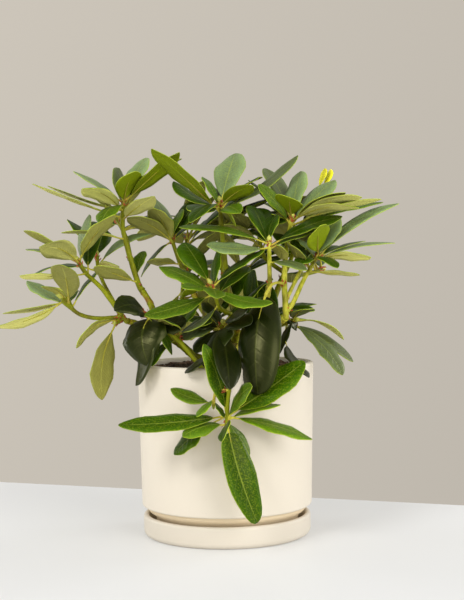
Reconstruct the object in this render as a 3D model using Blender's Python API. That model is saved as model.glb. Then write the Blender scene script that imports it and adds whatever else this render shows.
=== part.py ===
# Potted rhododendron in a round cream planter with a saucer.
#
# Frame: metres, +Z up, -Y towards the viewer. The origin is the centre of the saucer's flat underside.
# Tables are in millimetres. A place on the plant is (across, away, height): where it shows, seen from
# the front, on the upright plane through the pot's axis, and how far behind that plane it lies.

import math
import random
from collections import namedtuple

import bmesh
import bpy
from mathutils import Matrix, Vector
from mathutils.bvhtree import BVHTree

MM = 0.001
UP = Vector((0, 0, 1))

# Gap between neighbouring solids
GAP = 0.3

# Planter, all round about the Z axis
TURN_STEPS = 32
CORNER_STEPS = 2
SMOOTH_BELOW = math.radians(35)
POT_RADIUS_TOP = 90.0
POT_RADIUS_BOTTOM = 86.6
POT_HEIGHT = 177.0
POT_WALL = 6.5
POT_BODY_BOTTOM = 26.0
POT_LOWER_ROUND = 6.0
POT_FOOT_RADIUS = 73.0
POT_FOOT_ROUND = 2.0
POT_FLOOR = 9.0
RIM_ROUND = 3.0
DRAIN_RADIUS = 7.0
SAUCER_RADIUS = 86.0
SAUCER_HEIGHT = 20.0
SAUCER_WALL = 6.0
SAUCER_FLOOR = 5.5
SAUCER_LOWER_ROUND = 6.0
SAUCER_INNER_ROUND = 3.0
SOIL_LEVEL = 170.0
SOIL_CHAMFER = 1.5

# Front viewpoint in which the plant is laid out, and the small turn of that view about its middle
EYE = Vector((6.2, -1249.0, 267.0))
VIEW_MIDDLE = (6.2, 241.0)
VIEW_TURN = math.radians(0.7)

# Leaf solid. Sections lie at a fraction of the length and have a share of the half width.
LEAF_THICKNESS = 1.7
STALK_WIDTH = 2.0
TIP_WIDTH = 0.25
CORNER_REACH = math.sin(math.radians(60))
STALK_SHARE = 0.15
STALK_FLARE = 1.3
BLADE_SECTIONS = ((0.38, 0.90), (0.73, 0.88))
MIDLINE_STEP = 0.05
LEVEL_ENOUGH = 0.25

# Twigs and limbs: sides and steps of the solids, and where leaves may root on a twig
TWIG_SIDES = 3
TWIG_STEPS = 2
STEM_STRAIGHT = 2.5
STEM_BARE = 5.0
LIMB_SIDES = 7
LIMB_STEPS = 2
TWIG_TIP_RADIUS = 1.9
TWIG_TAPER = 0.75
BUD_WAIST = 0.45
BUD_TIP = 0.3
HUB_PAST = 3.0
HUB_LENGTH = 11.0

# Leaves that a whorl grows by rule: each value is drawn between the two that are named
GOLDEN_ANGLE = math.radians(137.5)
WHORL_LENGTH = 22.0
WHORL_SPREAD = (48, 84)
WHORL_REACH = (66, 92)
WHORL_ROLL = (-28, 28)
WHORL_WIDTH = (22, 29)
WHORL_BOW = (5, 11)
BACKWARD = 0.35

# Clearance rule: how far a leaf may be swung in depth, or turned round its twig, before it is left out
CLEAR = 0.5
OWN_CLEAR = 0.2
OWN_START = 0.28
SWINGS = (0, -7, 7, -14, 14, -21, 21, -28, 28, -36, 36, -45, 45)
WHORL_TURNS = 14
WHORL_TURN = 0.35
SKY_SHARES = (0.55, 0.8, 1.0)

# Sky that shows through the crown from the front: (left, right, bottom, top)
SKY = ((-100, -50, 232, 296), (-150, -112, 226, 258), (-250, -150, 345, 420), (-60, 220, 392, 440),
       (-215, -120, 150, 215), (98, 220, 150, 262), (-250, -96, 356, 440), (124, 220, 292, 318),
       (-132, -92, 60, 172), (96, 200, 60, 172))

Leaf = namedtuple("Leaf", "across up away width shown bow down")
Shoot = namedtuple("Shoot", "path fork radius bud leaves whorl")
Limb = namedtuple("Limb", "name parent path radii")
Mass = namedtuple("Mass", "name bough seed shoots")
Blade = namedtuple("Blade", "base tip normal arch width")


def leaf(across, up, away, width, shown, bow=4, down=0):
    """A leaf by its tip's reach from its node, its width, the width that shows (minus: underside)."""
    return Leaf(across, up, away, width, shown, bow, down)


def shoot(path, leaves=(), whorl=0, fork=None, radius=2.6, bud=(2.6, 8)):
    """A shoot: its way to the hub, its placed leaves, and how many more its whorl grows."""
    return Shoot([Vector(point) for point in path], fork, radius, bud, leaves, whorl)


# Trunk and boughs, each a single tapering limb. The trunk's path is laid out in space.
TRUNK_FOOT = Vector((0, 0, SOIL_LEVEL + GAP))
TRUNK = Limb("trunk", None, ((0, 0, 173.5), (2, 0.5, 184), (5, 1.5, 195), (8, 3, 207)), (9.4, 7.6, 6.8, 6.0))
ROOT_FLARE = 12.0

BOUGHS = (
    Limb("bough_left", "trunk",
         ((3, -2, 181), (-27, -12, 180), (-49, -20, 196), (-76, -26, 211), (-102, -30, 219)),
         (4.6, 4.2, 3.8, 3.4, 3.0)),
    Limb("bough_tall_left", "bough_left",
         ((-70, -24, 207), (-78, -16, 236), (-88, -11, 252)),
         (3.6, 3.3, 3.1)),
    Limb("bough_centre", "trunk",
         ((8, 3, 202), (12, 2, 223), (3, 1, 250), (1, 0, 262)),
         (4.2, 3.8, 3.4, 3.2)),
    Limb("bough_front", "trunk",
         ((8, 0, 198), (12, -20, 213), (10, -36, 222)),
         (3.6, 3.2, 2.8)),
    Limb("bough_right_front", "trunk",
         ((7, 2, 196), (28, -6, 219), (41, -24, 240), (45, -34, 255)),
         (3.8, 3.4, 3.1, 2.9)),
    Limb("bough_right", "trunk",
         ((5, 2, 188), (34, 0, 203), (61, -26, 222)),
         (4.6, 4.2, 3.8)),
    Limb("bough_low_right", "trunk",
         ((5, 3, 184), (32, 18, 197), (52, 20, 212)),
         (3.6, 3.1, 2.7)),
    Limb("bough_over_rim", "trunk",
         ((4, -3, 180), (9, -40, 181), (9.5, -72, 181)),
         (3.6, 3.2, 2.8)),
    Limb("bough_back_left", "trunk",
         ((4, 2, 192), (-14, 16, 216), (-32, 28, 244), (-40, 33, 262)),
         (4.0, 3.7, 3.3, 3.0)),
    Limb("bough_back", "trunk",
         ((6, 3, 197), (9, 32, 222), (4, 58, 246), (-2, 74, 264)),
         (4.0, 3.6, 3.3, 3.0)),
    Limb("bough_back_right", "trunk",
         ((5, 3, 187), (32, 26, 214), (48, 44, 238), (57, 56, 260)),
         (4.0, 3.6, 3.3, 3.0)),
)

# Masses of foliage, each growing on from its bough's tip (or from the trunk)
MASSES = (
    Mass("foliage_tall_left", "bough_tall_left", 11, (
        shoot([(-97, -10, 276), (-107, -10, 314), (-106.5, -10, 341)], radius=3.0, whorl=2, leaves=(
            leaf(-52, 34, 25, 22, 6),
            leaf(-43, 16, -50, 28, -16, 6),
            leaf(-79, 22, 12, 20, 4),
            leaf(-94, 23, 0, 22, 5, -8),
            leaf(-66, 5, -14, 20, -4, 3, 35),
            leaf(12, 34, -46, 28, -23),
            leaf(-4, 37, 34, 25, 14),
            leaf(22, 47, 46, 28, 22),
            leaf(58, 54, -34, 25, -11),
            leaf(32, 25, -50, 22, -10, 6, 18),
            leaf(-24, -22, -52, 24, 11, 8),
            leaf(-45, 19, -38, 22, -11, 5, 70))),
        shoot([(-104, 22, 306), (-112, 46, 322)], fork=(0, 0.35), whorl=8),
    )),
    Mass("foliage_far_left", "bough_left", 12, (
        shoot([(-115, -28, 234), (-130, -24, 254), (-145, -21, 268), (-152.3, -20, 279)], radius=2.8,
              whorl=1, leaves=(
                  leaf(-43, 14, -50, 27, -17, 5),
                  leaf(-56, 15, 26, 20, 5),
                  leaf(-67, -5, 4, 20, 4, 3, 9),
                  leaf(26, 52, -32, 26, -16),
                  leaf(-13, 45, 22, 20, 8, 6),
                  leaf(10, 51, 32, 20, 10),
                  leaf(-58, 34, 16, 22, 8, 9))),
        shoot([(-124, 10, 252), (-132, 26, 270), (-134, 30, 284)], fork=(0, 0.12), radius=2.3,
              whorl=4, leaves=(
                  leaf(58, 21, 22, 24, 10),
                  leaf(24, -1, -42, 18, 6, 5))),
        shoot([(-112, -30, 223), (-135, -26, 222), (-152, -22, 226), (-161, -20, 233), (-167, -20, 241)],
              fork=(0, 0.09), radius=2.4, bud=(5.5, 14), whorl=1, leaves=(
                  leaf(-5, 37, -50, 30, -27, 5),
                  leaf(-25, 14, -22, 14, -7, 6),
                  leaf(-40, 20, 36, 22, 10),
                  leaf(-65, -14, 24, 22, -5, 6),
                  leaf(-76, -28, 18, 24, -10, 8),
                  leaf(32, 45, 22, 20, 4, 4, 12))),
        shoot([(-112, -33, 219)], fork=(0, 0.06), radius=2.4, bud=(2.2, 5), leaves=(
            leaf(-19, -82, 16, 29, -23, 8),
            leaf(-44, -28, -22, 19, 7, 9))),
    )),
    Mass("foliage_low_left", "trunk", 13, (
        shoot([(-20, -24, 186), (-46, -38, 204), (-84, -46, 226)], fork=(-3, -8, 184), radius=2.8,
              leaves=(
                  leaf(-33, 5, -28, 26, 17, 5),
                  leaf(6, -54, -52, 42, 41, 12),
                  leaf(-10, -74, -8, 24, 12, 5),
                  leaf(28, -42, -36, 18, 8, 5))),
        shoot([(-50, -36, 200)], fork=(0, 0.45), radius=2.6, bud=(3.4, 10), leaves=(
            leaf(-15, 19, -36, 24, -14),
            leaf(19, 34, 30, 24, 14),
            leaf(35, 16, -22, 22, 8))),
    )),
    Mass("foliage_top", "bough_centre", 14, (
        shoot([(-1, 0, 282), (-4, 0, 311), (-6.2, 0, 339.6)], radius=3.0, whorl=3, leaves=(
            leaf(-71, 59, -36, 25, -13.5),
            leaf(-48, 25, 30, 20, 5),
            leaf(16, 54, 56, 34, 32, 6),
            leaf(-17, 29, 30, 17, 9),
            leaf(34, 22, -48, 23, -12, 7),
            leaf(81, 52, 15, 22, 7, -8),
            leaf(21, -8, -52, 21, 10, 7),
            leaf(-33, -5, -38, 22, -10, 7),
            leaf(-31, -18, -44, 22, 9, 7),
            leaf(28, -24, 42, 26, -14, 5),
            leaf(17, -22, -18, 16, -4, 3))),
    )),
    Mass("foliage_front", "bough_front", 15, (
        shoot([(3, -46, 227), (-6, -54, 232.5), (-9.5, -58, 241), (-14.6, -60, 254)], radius=2.6,
              whorl=1, leaves=(
                  leaf(-29, 48, 46, 30, 26),
                  leaf(-55, 22, 24, 25, 14.5),
                  leaf(-31, -2, -28, 17, 7),
                  leaf(-70, -30, -20, 26, 16.5, 6),
                  leaf(63, -16, -16, 23, 11.5, 5),
                  leaf(6, -12, -54, 22, 20, 8),
                  leaf(5, 38, 36, 20, 10),
                  leaf(55, 40, 20, 22, 9),
                  leaf(-31, -10, 30, 18, -6))),
    )),
    Mass("foliage_right_front", "bough_right_front", 16, (
        shoot([(45.5, -38, 268), (45.2, -40, 284), (45.2, -40, 299)], radius=2.6, whorl=2, leaves=(
            leaf(-94, 18, 8, 22, 8, 9),
            leaf(-65, 0, -24, 24, 11, 5),
            leaf(-18, 40, 46, 28, 18.5),
            leaf(9, 31, 42, 22, 10),
            leaf(76, 29, 14, 25, 12, 5),
            leaf(51, 15, 30, 22, 8),
            leaf(39, -14, -32, 20, 7, 5, 13),
            leaf(14, -16, 46, 25, -12))),
    )),
    Mass("foliage_right", "bough_right", 17, (
        shoot([(61.4, -29, 246), (60.8, -26, 266), (62.6, -14, 290), (66, -2, 312), (68.6, 4, 323)],
              radius=3.2, whorl=2, leaves=(
                  leaf(-35, 38, 20, 21, 10),
                  leaf(-45, 43, 32, 16, 4),
                  leaf(-2, 25, -60, 30, -28, 6),
                  leaf(9, 52, 44, 27, 20),
                  leaf(45, 43, 30, 27, 16),
                  leaf(-21, 52, 48, 27, 16),
                  leaf(56, 30, -32, 23, -10, 6),
                  leaf(73, 25, -26, 25, -11, 6),
                  leaf(93, 23, -8, 21, -6, 5),
                  leaf(95, 20, 20, 20, 5, 4),
                  leaf(70, 14, -38, 23, -10, 7),
                  leaf(33, 55, 40, 9, 4, 2),
                  leaf(40, 54, 36, 9, -4, 2))),
        shoot([(70, -28, 238), (79, -24, 258), (88, -14, 274), (95.2, -4, 285.5)], fork=(0, 0.07),
              radius=2.6, bud=(3.8, 9), whorl=2, leaves=(
                  leaf(50, 17, 32, 19, 5),
                  leaf(81, 15, 10, 21, 5, 5),
                  leaf(56, 0, -36, 25, -9.5, 6),
                  leaf(21, -11, -44, 19, 6, 6),
                  leaf(60, -5, 2, 19, -4, 4, 18),
                  leaf(-21, -7, -34, 18, 7),
                  leaf(-18, 18, 38, 21, 9),
                  leaf(3, 33, -46, 28, -22),
                  leaf(25, 38, 30, 23, 12),
                  leaf(85, 56, 8, 25, 8, 11))),
        shoot([(67, -22, 250), (77, -8, 270), (81, -2, 278)], fork=(0, 0.16), radius=2.2, whorl=1,
              leaves=(
                  leaf(-12, 20, -46, 24, -13),
                  leaf(10, 22, 42, 22, 9))),
        shoot([(56, -36, 259), (48, -46, 257), (42.5, -52, 248)], fork=(0, 0.32), radius=1.9,
              bud=(1.6, 2), leaves=(
                  leaf(-9.5, -101, -58, 43, 42, 14),)),
    )),
    Mass("foliage_low_right", "bough_low_right", 18, (
        shoot([(60, 16, 216), (68.6, 10, 219)], radius=2.6, whorl=2, leaves=(
            leaf(53, -56, -30, 27, 16.5, 8),
            leaf(64, -40, -8, 25, 10, 7),
            leaf(54, -19, 22, 18, -4, 5),
            leaf(21, 13, -48, 23, -10),
            leaf(-5, 6, -54, 22, 9, 6),
            leaf(5, -10, -44, 17, 7, 6),
            leaf(-11, -23, -34, 20, 8, 6),
            leaf(18, -61, -62, 26, 14, 14))),
    )),
    Mass("foliage_low_centre", "trunk", 19, (
        shoot([(-6, -24, 200), (-4, -36, 214)], fork=(0, -9, 190), radius=2.6, whorl=2, leaves=(
            leaf(-31, 3, -40, 27, 12, 5),
            leaf(-7, -30, -50, 34, 24, 10),
            leaf(-38, -46, -56, 25, 9, 14),
            leaf(14, -66, -61, 28, 24, 15),
            leaf(-14, 24, 34, 26, 14),
            leaf(30, 2, -34, 27, 14, 6),
            leaf(-34, -18, 10, 27, 18, 6),
            leaf(24, 14, -30, 24, 9))),
    )),
    Mass("foliage_over_pot", "bough_over_rim", 20, (
        shoot([(9.2, -90, 176.5), (8.6, -99, 170.5), (6.8, -104, 160), (3.7, -107, 149), (1.6, -108, 130),
               (1, -108, 113)], radius=2.5, bud=(2.2, 6), leaves=(
                   leaf(-113, -2, -6, 25, 17.5, 3),
                   leaf(30, -104, -3, 29, 26, 4),
                   leaf(-46, -14, -16, 21, 15.5, 3),
                   leaf(89, -17, 6, 25, 12.5, 3),
                   leaf(81, 64, 30, 31, 26, 5),
                   leaf(56, 19, 8, 22, 8),
                   leaf(-24, 82, -2, 25, 17.5, 3),
                   leaf(-55, -33, 4, 22, 8, 3),
                   leaf(22, -35, 2, 18, 9, 2),
                   leaf(-5, -19, -38, 18, 8),
                   leaf(26, 38, -30, 22, -12))),
        shoot([(-10, -106, 146), (-12.5, -107, 133.6)], fork=(0, 0.60), radius=1.9, bud=(1.6, 4),
              leaves=(
                  leaf(-45, 15, 4, 20, 12.5, 3),
                  leaf(-18, -14, -16, 13, 7, 2),
                  leaf(11, -15, -14, 11, 5, 2))),
    )),
    Mass("foliage_back_left", "bough_back_left", 21, (
        shoot([(-48, 31, 280), (-55.6, 30, 302)], radius=2.6, whorl=1, leaves=(
            leaf(-20, 35, -46, 28, -20),
            leaf(-47, 25, -36, 27, -16, 5),
            leaf(-21, 47, 42, 29, 18),
            leaf(9, 33, 22, 17, 9),
            leaf(14, 14, 52, 19, 8),
            leaf(-33, 4, -22, 17, -6, 4, 20),
            leaf(-33, -37, 16, 19, 4, 4))),
        shoot([(-42, 60, 288), (-40, 84, 306)], fork=(0, 0.15), whorl=9),
        shoot([(-44, 52, 266), (-46, 76, 240)], fork=(0, 0.18), whorl=7),
    )),
    Mass("foliage_back", "bough_back", 22, (
        shoot([(-4, 84, 284), (-6, 92, 310)], radius=2.8, whorl=10),
        shoot([(12, 100, 262), (20, 122, 272)], fork=(0, 0.1), whorl=8),
    )),
    Mass("foliage_back_right", "bough_back_right", 23, (
        shoot([(68, 66, 284), (74, 70, 306)], radius=2.8, whorl=9),
        shoot([(84, 82, 268), (98, 98, 272)], fork=(0, 0.1), whorl=8),
        shoot([(40, 60, 286), (34, 58, 312)], fork=(0, 0.2), whorl=6),
    )),
    Mass("foliage_low_back", "trunk", 34, (
        shoot([(14, 30, 196), (24, 54, 208)], fork=(5, 10, 186), radius=2.6, whorl=7),
        shoot([(-16, 44, 204), (-26, 62, 212)], fork=(0, 0.3), whorl=7),
    )),
)


def front(point):
    """The place in space of (across, away, height) as laid out in the front view."""
    across, away, height = point
    dx, dz = across - VIEW_MIDDLE[0], height - VIEW_MIDDLE[1]
    flat = Vector((VIEW_MIDDLE[0] + dx * math.cos(VIEW_TURN) + dz * math.sin(VIEW_TURN), 0,
                   VIEW_MIDDLE[1] - dx * math.sin(VIEW_TURN) + dz * math.cos(VIEW_TURN)))
    return EYE + (flat - EYE) * ((away - EYE.y) / -EYE.y)


def front_view(point):
    """Where a place in space shows on the front view: across and height."""
    flat = EYE + (point - EYE) * (-EYE.y / (point.y - EYE.y))
    dx, dz = flat.x - VIEW_MIDDLE[0], flat.z - VIEW_MIDDLE[1]
    return (VIEW_MIDDLE[0] + dx * math.cos(VIEW_TURN) - dz * math.sin(VIEW_TURN),
            VIEW_MIDDLE[1] + dx * math.sin(VIEW_TURN) + dz * math.cos(VIEW_TURN))


def smooth_path(points, steps):
    """A smooth curve through the points, with a few steps between each two."""
    points = [Vector(p) for p in points]
    ends = [2 * points[0] - points[1]] + points + [2 * points[-1] - points[-2]]
    curve = []
    for i in range(1, len(ends) - 2):
        a, b, c, d = ends[i - 1:i + 3]
        for k in range(steps):
            t = k / steps
            curve.append(0.5 * (2 * b + (c - a) * t + (2 * a - 5 * b + 4 * c - d) * t * t
                                + (3 * b - a - 3 * c + d) * t ** 3))
    return curve + [points[-1]]


def along(path, share):
    """The point at a share (0 to 1) of a path's length, and the way the path runs there."""
    left = share * path_length(path)
    for a, b in zip(path, path[1:]):
        step = (b - a).length
        if left <= step:
            return a.lerp(b, left / step), (b - a).normalized()
        left -= step
    return path[-1].copy(), (path[-1] - path[-2]).normalized()


def path_length(path):
    return sum((b - a).length for a, b in zip(path, path[1:]))


def blend_radii(radii, count):
    """Radii at evenly spaced points, from the few that are named."""
    result = []
    for i in range(count):
        place = i / (count - 1) * (len(radii) - 1)
        low = min(int(place), len(radii) - 2)
        result.append(radii[low] + (radii[low + 1] - radii[low]) * (place - low))
    return result


def ring_frames(path):
    """A frame at each point of a path, turned as little as possible from one to the next."""
    frames = []
    side = None
    for i, point in enumerate(path):
        way = (path[min(i + 1, len(path) - 1)] - path[max(i - 1, 0)]).normalized()
        if side is None:
            side = way.orthogonal()
        side = (side - way * side.dot(way)).normalized()
        turn = Matrix((side, way.cross(side), way)).transposed().to_4x4()
        frames.append(Matrix.Translation(point) @ turn)
    return frames


def loft(bm, frames, sizes, sides):
    """A closed solid: a ring on the first frame, drawn on through the others. Sizes are (x, y)."""
    ring = bmesh.ops.create_circle(bm, cap_ends=True, segments=sides, radius=1)["verts"]
    face = ring[0].link_faces[0]
    places = {vert: vert.co.copy() for vert in face.verts}
    for step, (frame, size) in enumerate(zip(frames, sizes)):
        if step:
            grown = bmesh.ops.extrude_face_region(bm, geom=[face])["geom"]
            end = next(g for g in grown if isinstance(g, bmesh.types.BMFace))
            if step > 1:
                bmesh.ops.delete(bm, geom=[face], context="FACES_ONLY")
            places = {next(e.other_vert(vert) for e in vert.link_edges if e.other_vert(vert) in end.verts):
                      place for vert, place in places.items()}
            face = end
        for vert, place in places.items():
            vert.co = frame @ Vector((place.x * size[0], place.y * size[1], 0))
    return face


def finish_mesh(bm, name):
    """A mesh of triangles that face outwards."""
    bmesh.ops.recalc_face_normals(bm, faces=bm.faces[:])
    bmesh.ops.triangulate(bm, faces=bm.faces[:])
    mesh = bpy.data.meshes.new(name)
    bm.to_mesh(mesh)
    bm.free()
    return mesh


def to_metres(bm, name):
    bmesh.ops.scale(bm, vec=(MM, MM, MM), verts=bm.verts[:])
    return finish_mesh(bm, name)


def limb_mesh(name, path, radii, grow=0.0):
    """A tapering limb along a path, in metres; grow widens it all over."""
    bm = bmesh.new()
    loft(bm, ring_frames(path), [(r + grow, r + grow) for r in radii], LIMB_SIDES)
    return to_metres(bm, name)


def bud_path(path, radius, bud):
    """A twig's path and radii with its bud: a swelling that closes to a small tip."""
    way = (path[-1] - path[-2]).normalized()
    swell, length = bud
    radii = blend_radii((radius, max(TWIG_TIP_RADIUS, radius * TWIG_TAPER)), len(path))
    tip = [path[-1] + way * (length * BUD_WAIST), path[-1] + way * length]
    return path + tip, radii + [swell, swell * BUD_TIP]


def blade_point(blade, share):
    """A point on a leaf's midline."""
    return blade.base.lerp(blade.tip, share) + blade.arch * (4 * share * (1 - share))


def leaf_bmesh(blade, margin=0.0, start=0.0):
    """One leaf as a thin closed solid with a keel below its midrib. For tests, margin fattens it and
    start leaves out its stalk."""
    half = blade.width / 2
    stalk = STALK_WIDTH / 2
    if start < STALK_SHARE:
        sections = [(start, stalk, stalk), (STALK_SHARE, stalk * STALK_FLARE, stalk)]
    else:
        widen = (start - STALK_SHARE) / (BLADE_SECTIONS[0][0] - STALK_SHARE)
        sections = [(start, stalk + (half - stalk) * widen, stalk)]
    sections += [(share, half * wide, LEAF_THICKNESS / 2) for share, wide in BLADE_SECTIONS]
    sections += [(1.0, TIP_WIDTH, TIP_WIDTH)]
    frames, sizes = [], []
    for share, wide, thick in sections:
        before = blade_point(blade, max(share - MIDLINE_STEP, 0))
        way = (blade_point(blade, min(share + MIDLINE_STEP, 1)) - before).normalized()
        side = way.cross(blade.normal).normalized()
        turn = Matrix((side, way.cross(side), way)).transposed().to_4x4()
        frames.append(Matrix.Translation(blade_point(blade, share)) @ turn)
        sizes.append(((wide + margin) / CORNER_REACH, thick + margin))
    bm = bmesh.new()
    tip_face = loft(bm, frames, sizes, 3)
    if not margin:
        bmesh.ops.pointmerge(bm, verts=tip_face.verts[:], merge_co=blade.tip)
    bmesh.ops.triangulate(bm, faces=bm.faces[:])
    return bm


def turned_normal(base, tip, width, shown):
    """The top normal of a leaf that shows the asked width from the front."""
    way = (tip - base).normalized()
    middle = base.lerp(tip, 0.5)
    view = (middle - EYE).normalized()
    flat = view.cross(way).normalized()
    deep = way.cross(flat)
    scale = (middle.y - EYE.y) / -EYE.y
    lean = math.acos(min(1.0, abs(shown) * scale / width))
    best = None
    for turn in (lean, -lean):
        normal = (flat * math.cos(turn) + deep * math.sin(turn)).cross(way)
        if normal.dot(-view) * shown < 0:
            normal = -normal
        if best is None or normal.z > best.z:
            best = normal
    return best


def make_blade(base, tip, width, normal, bow):
    """A leaf that arches upwards by its bow, or towards its top side where it hangs steeply."""
    way = (tip - base).normalized()
    lift = UP - way * UP.dot(way)
    lift = lift.normalized() if lift.length > LEVEL_ENOUGH else normal
    return Blade(base, tip, normal, lift * bow, width)


def placed_blade(stem, row, rng, swing):
    """A leaf set by its row, swung in depth."""
    length = path_length(stem)
    node = along(stem, max(0.0, 1 - (row.down + HUB_PAST) / length))[0]
    root = along(stem, max(STEM_BARE / length, 1 - (row.down + rng.uniform(0, HUB_LENGTH)) / length))[0]
    tip = front((node.x + row.across, node.y + row.away + swing, node.z + row.up))
    base = front(root)
    normal = turned_normal(base, tip, row.width, row.shown)
    return make_blade(base, tip, row.width, normal, row.bow)


def whorl_blade(stem, index, rng, turn, back_only):
    """A leaf of a whorl: round the shoot by the golden angle, spreading, its tip drooping."""
    length = path_length(stem)
    root, way = along(stem, max(STEM_BARE / length, 1 - rng.uniform(0, WHORL_LENGTH) / length))
    base = front(root)
    axis = (way + UP).normalized()
    flat = axis.orthogonal().normalized()
    round_angle = index * GOLDEN_ANGLE + turn
    spread = math.radians(rng.uniform(*WHORL_SPREAD))
    out = flat * math.cos(round_angle) + axis.cross(flat) * math.sin(round_angle)
    reach = rng.uniform(*WHORL_REACH)
    heading = (axis * math.cos(spread) + out * math.sin(spread)).normalized()
    if back_only and heading.y < BACKWARD:
        return None
    tip = base + heading * reach
    normal = heading.cross(UP).cross(heading).normalized()
    normal = Matrix.Rotation(math.radians(rng.uniform(*WHORL_ROLL)), 3, heading) @ normal
    return make_blade(base, tip, rng.uniform(*WHORL_WIDTH), normal, rng.uniform(*WHORL_BOW))


class Room:
    """The solids already in place, by node, which a new leaf or twig has to keep clear of."""

    def __init__(self):
        self.parts = []

    def add(self, node, bm, blade_only=None):
        self.parts.append((node, BVHTree.FromBMesh(bm), blade_only, bounds_of(bm)))

    def clear(self, node, probe, own_probe):
        """True where the probe touches no other node and the blade no other blade of its own."""
        tree, box = BVHTree.FromBMesh(probe), bounds_of(probe)
        own_tree = BVHTree.FromBMesh(own_probe)
        others, own = True, True
        for other, solid, blade_only, other_box in self.parts:
            if not boxes_meet(box, other_box):
                continue
            if other != node:
                others = others and not tree.overlap(solid)
            elif blade_only is not None:
                own = own and not own_tree.overlap(blade_only)
            if not others:
                return False, own
        return others, own


def bounds_of(bm):
    points = [v.co for v in bm.verts]
    return ([min(p[i] for p in points) for i in range(3)], [max(p[i] for p in points) for i in range(3)])


def boxes_meet(a, b):
    return all(a[0][i] <= b[1][i] and b[0][i] <= a[1][i] for i in range(3))


def in_sky(blade):
    """True where a whorl's leaf would close a gap that shows sky from the front."""
    for share in SKY_SHARES:
        across, height = front_view(blade_point(blade, share))
        if any(l < across < r and b < height < t for l, r, b, t in SKY):
            return True
    return False


def try_blade(room, node, blade):
    """Whether a leaf is clear of the other nodes, and whether it is clear of its own mass's leaves."""
    probe = leaf_bmesh(blade, margin=CLEAR)
    own = leaf_bmesh(blade, margin=OWN_CLEAR, start=OWN_START)
    result = room.clear(node, probe, own)
    probe.free()
    own.free()
    return result


def settle(room, node, candidates):
    """The first candidate that is clear of all; failing that, one that only meets its own mass."""
    spare = None
    for blade in candidates:
        others, own = try_blade(room, node, blade)
        if others and own:
            spare = blade
            break
        if others and spare is None:
            spare = blade
    if spare is not None:
        solid = leaf_bmesh(spare)
        blade_only = leaf_bmesh(spare, start=OWN_START)
        room.add(node, solid, BVHTree.FromBMesh(blade_only))
        solid.free()
        blade_only.free()
    return spare


def shoot_paths(mass, layouts):
    """The way of each shoot in a mass, in the front layout, from its bough's tip or its fork."""
    stems = []
    for item in mass.shoots:
        square = []
        if item.fork is None:
            tip, before = layouts[mass.bough][-1], layouts[mass.bough][-2]
            way = (tip - before).normalized()
            square = [tip + way * GAP]
            start = tip + way * (GAP + STEM_STRAIGHT)
        elif len(item.fork) == 3:
            start = Vector(item.fork)
        else:
            start = along(stems[item.fork[0]], item.fork[1])[0]
        stem = square + smooth_path([start] + item.path, TWIG_STEPS)
        stems.append(stem + [stem[-1] + (stem[-1] - stem[-2]).normalized() * HUB_PAST])
    return stems


def grow_placed(mass, stems, room):
    """The leaves of a mass that have a row of their own."""
    blades = []
    rng = random.Random(mass.seed)
    for item, stem in zip(mass.shoots, stems):
        for row in item.leaves:
            state = rng.random()
            choices = (placed_blade(stem, row, random.Random(state), swing) for swing in SWINGS)
            blades.append(settle(room, mass.name, choices))
    return [blade for blade in blades if blade is not None]


def grow_whorls(mass, stems, room):
    """The leaves that a mass's shoots grow round themselves by rule."""
    blades = []
    rng = random.Random(mass.seed + len(MASSES))
    for item, stem in zip(mass.shoots, stems):
        back_only = bool(item.leaves)
        start = rng.uniform(0, math.tau)
        for index in range(item.whorl):
            choices = [whorl_blade(stem, index, rng, start + step * WHORL_TURN, back_only)
                       for step in range(WHORL_TURNS)]
            choices = [blade for blade in choices if blade is not None and not in_sky(blade)]
            blades.append(settle(room, mass.name, choices))
    return [blade for blade in blades if blade is not None]


def fuse(name, meshes):
    """One solid from overlapping ones, by a single union on a collection."""
    group = bpy.data.collections.new(name + "_pieces")
    objects = [bpy.data.objects.new(name + "_piece", mesh) for mesh in meshes]
    for piece in objects[1:]:
        group.objects.link(piece)
    bpy.context.scene.collection.objects.link(objects[0])
    union = objects[0].modifiers.new("union", "BOOLEAN")
    union.operation = "UNION"
    union.operand_type = "COLLECTION"
    union.collection = group
    union.solver = "EXACT"
    bpy.context.view_layer.update()
    seen = objects[0].evaluated_get(bpy.context.evaluated_depsgraph_get())
    fused = bpy.data.meshes.new_from_object(seen)
    fused.name = name
    for piece in objects:
        bpy.data.objects.remove(piece)
    bpy.data.collections.remove(group)
    keep_largest(fused)
    return fused


def keep_largest(mesh):
    """Drops loose scraps and the walls of sealed hollows: only the largest shell stays."""
    bm = bmesh.new()
    bm.from_mesh(mesh)
    left = set(bm.verts)
    shells = []
    while left:
        stack = [left.pop()]
        shell = set(stack)
        while stack:
            for edge in stack.pop().link_edges:
                for vert in edge.verts:
                    if vert in left:
                        left.remove(vert)
                        shell.add(vert)
                        stack.append(vert)
        shells.append(shell)
    largest = max(shells, key=len)
    bmesh.ops.delete(bm, geom=[v for v in bm.verts if v not in largest], context="VERTS")
    bmesh.ops.triangulate(bm, faces=bm.faces[:])
    bm.to_mesh(mesh)
    bm.free()


def meshes_meet(a, b):
    trees = []
    for mesh in (a, b):
        bm = bmesh.new()
        bm.from_mesh(mesh)
        trees.append(BVHTree.FromBMesh(bm))
        bm.free()
    return bool(trees[0].overlap(trees[1]))


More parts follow.
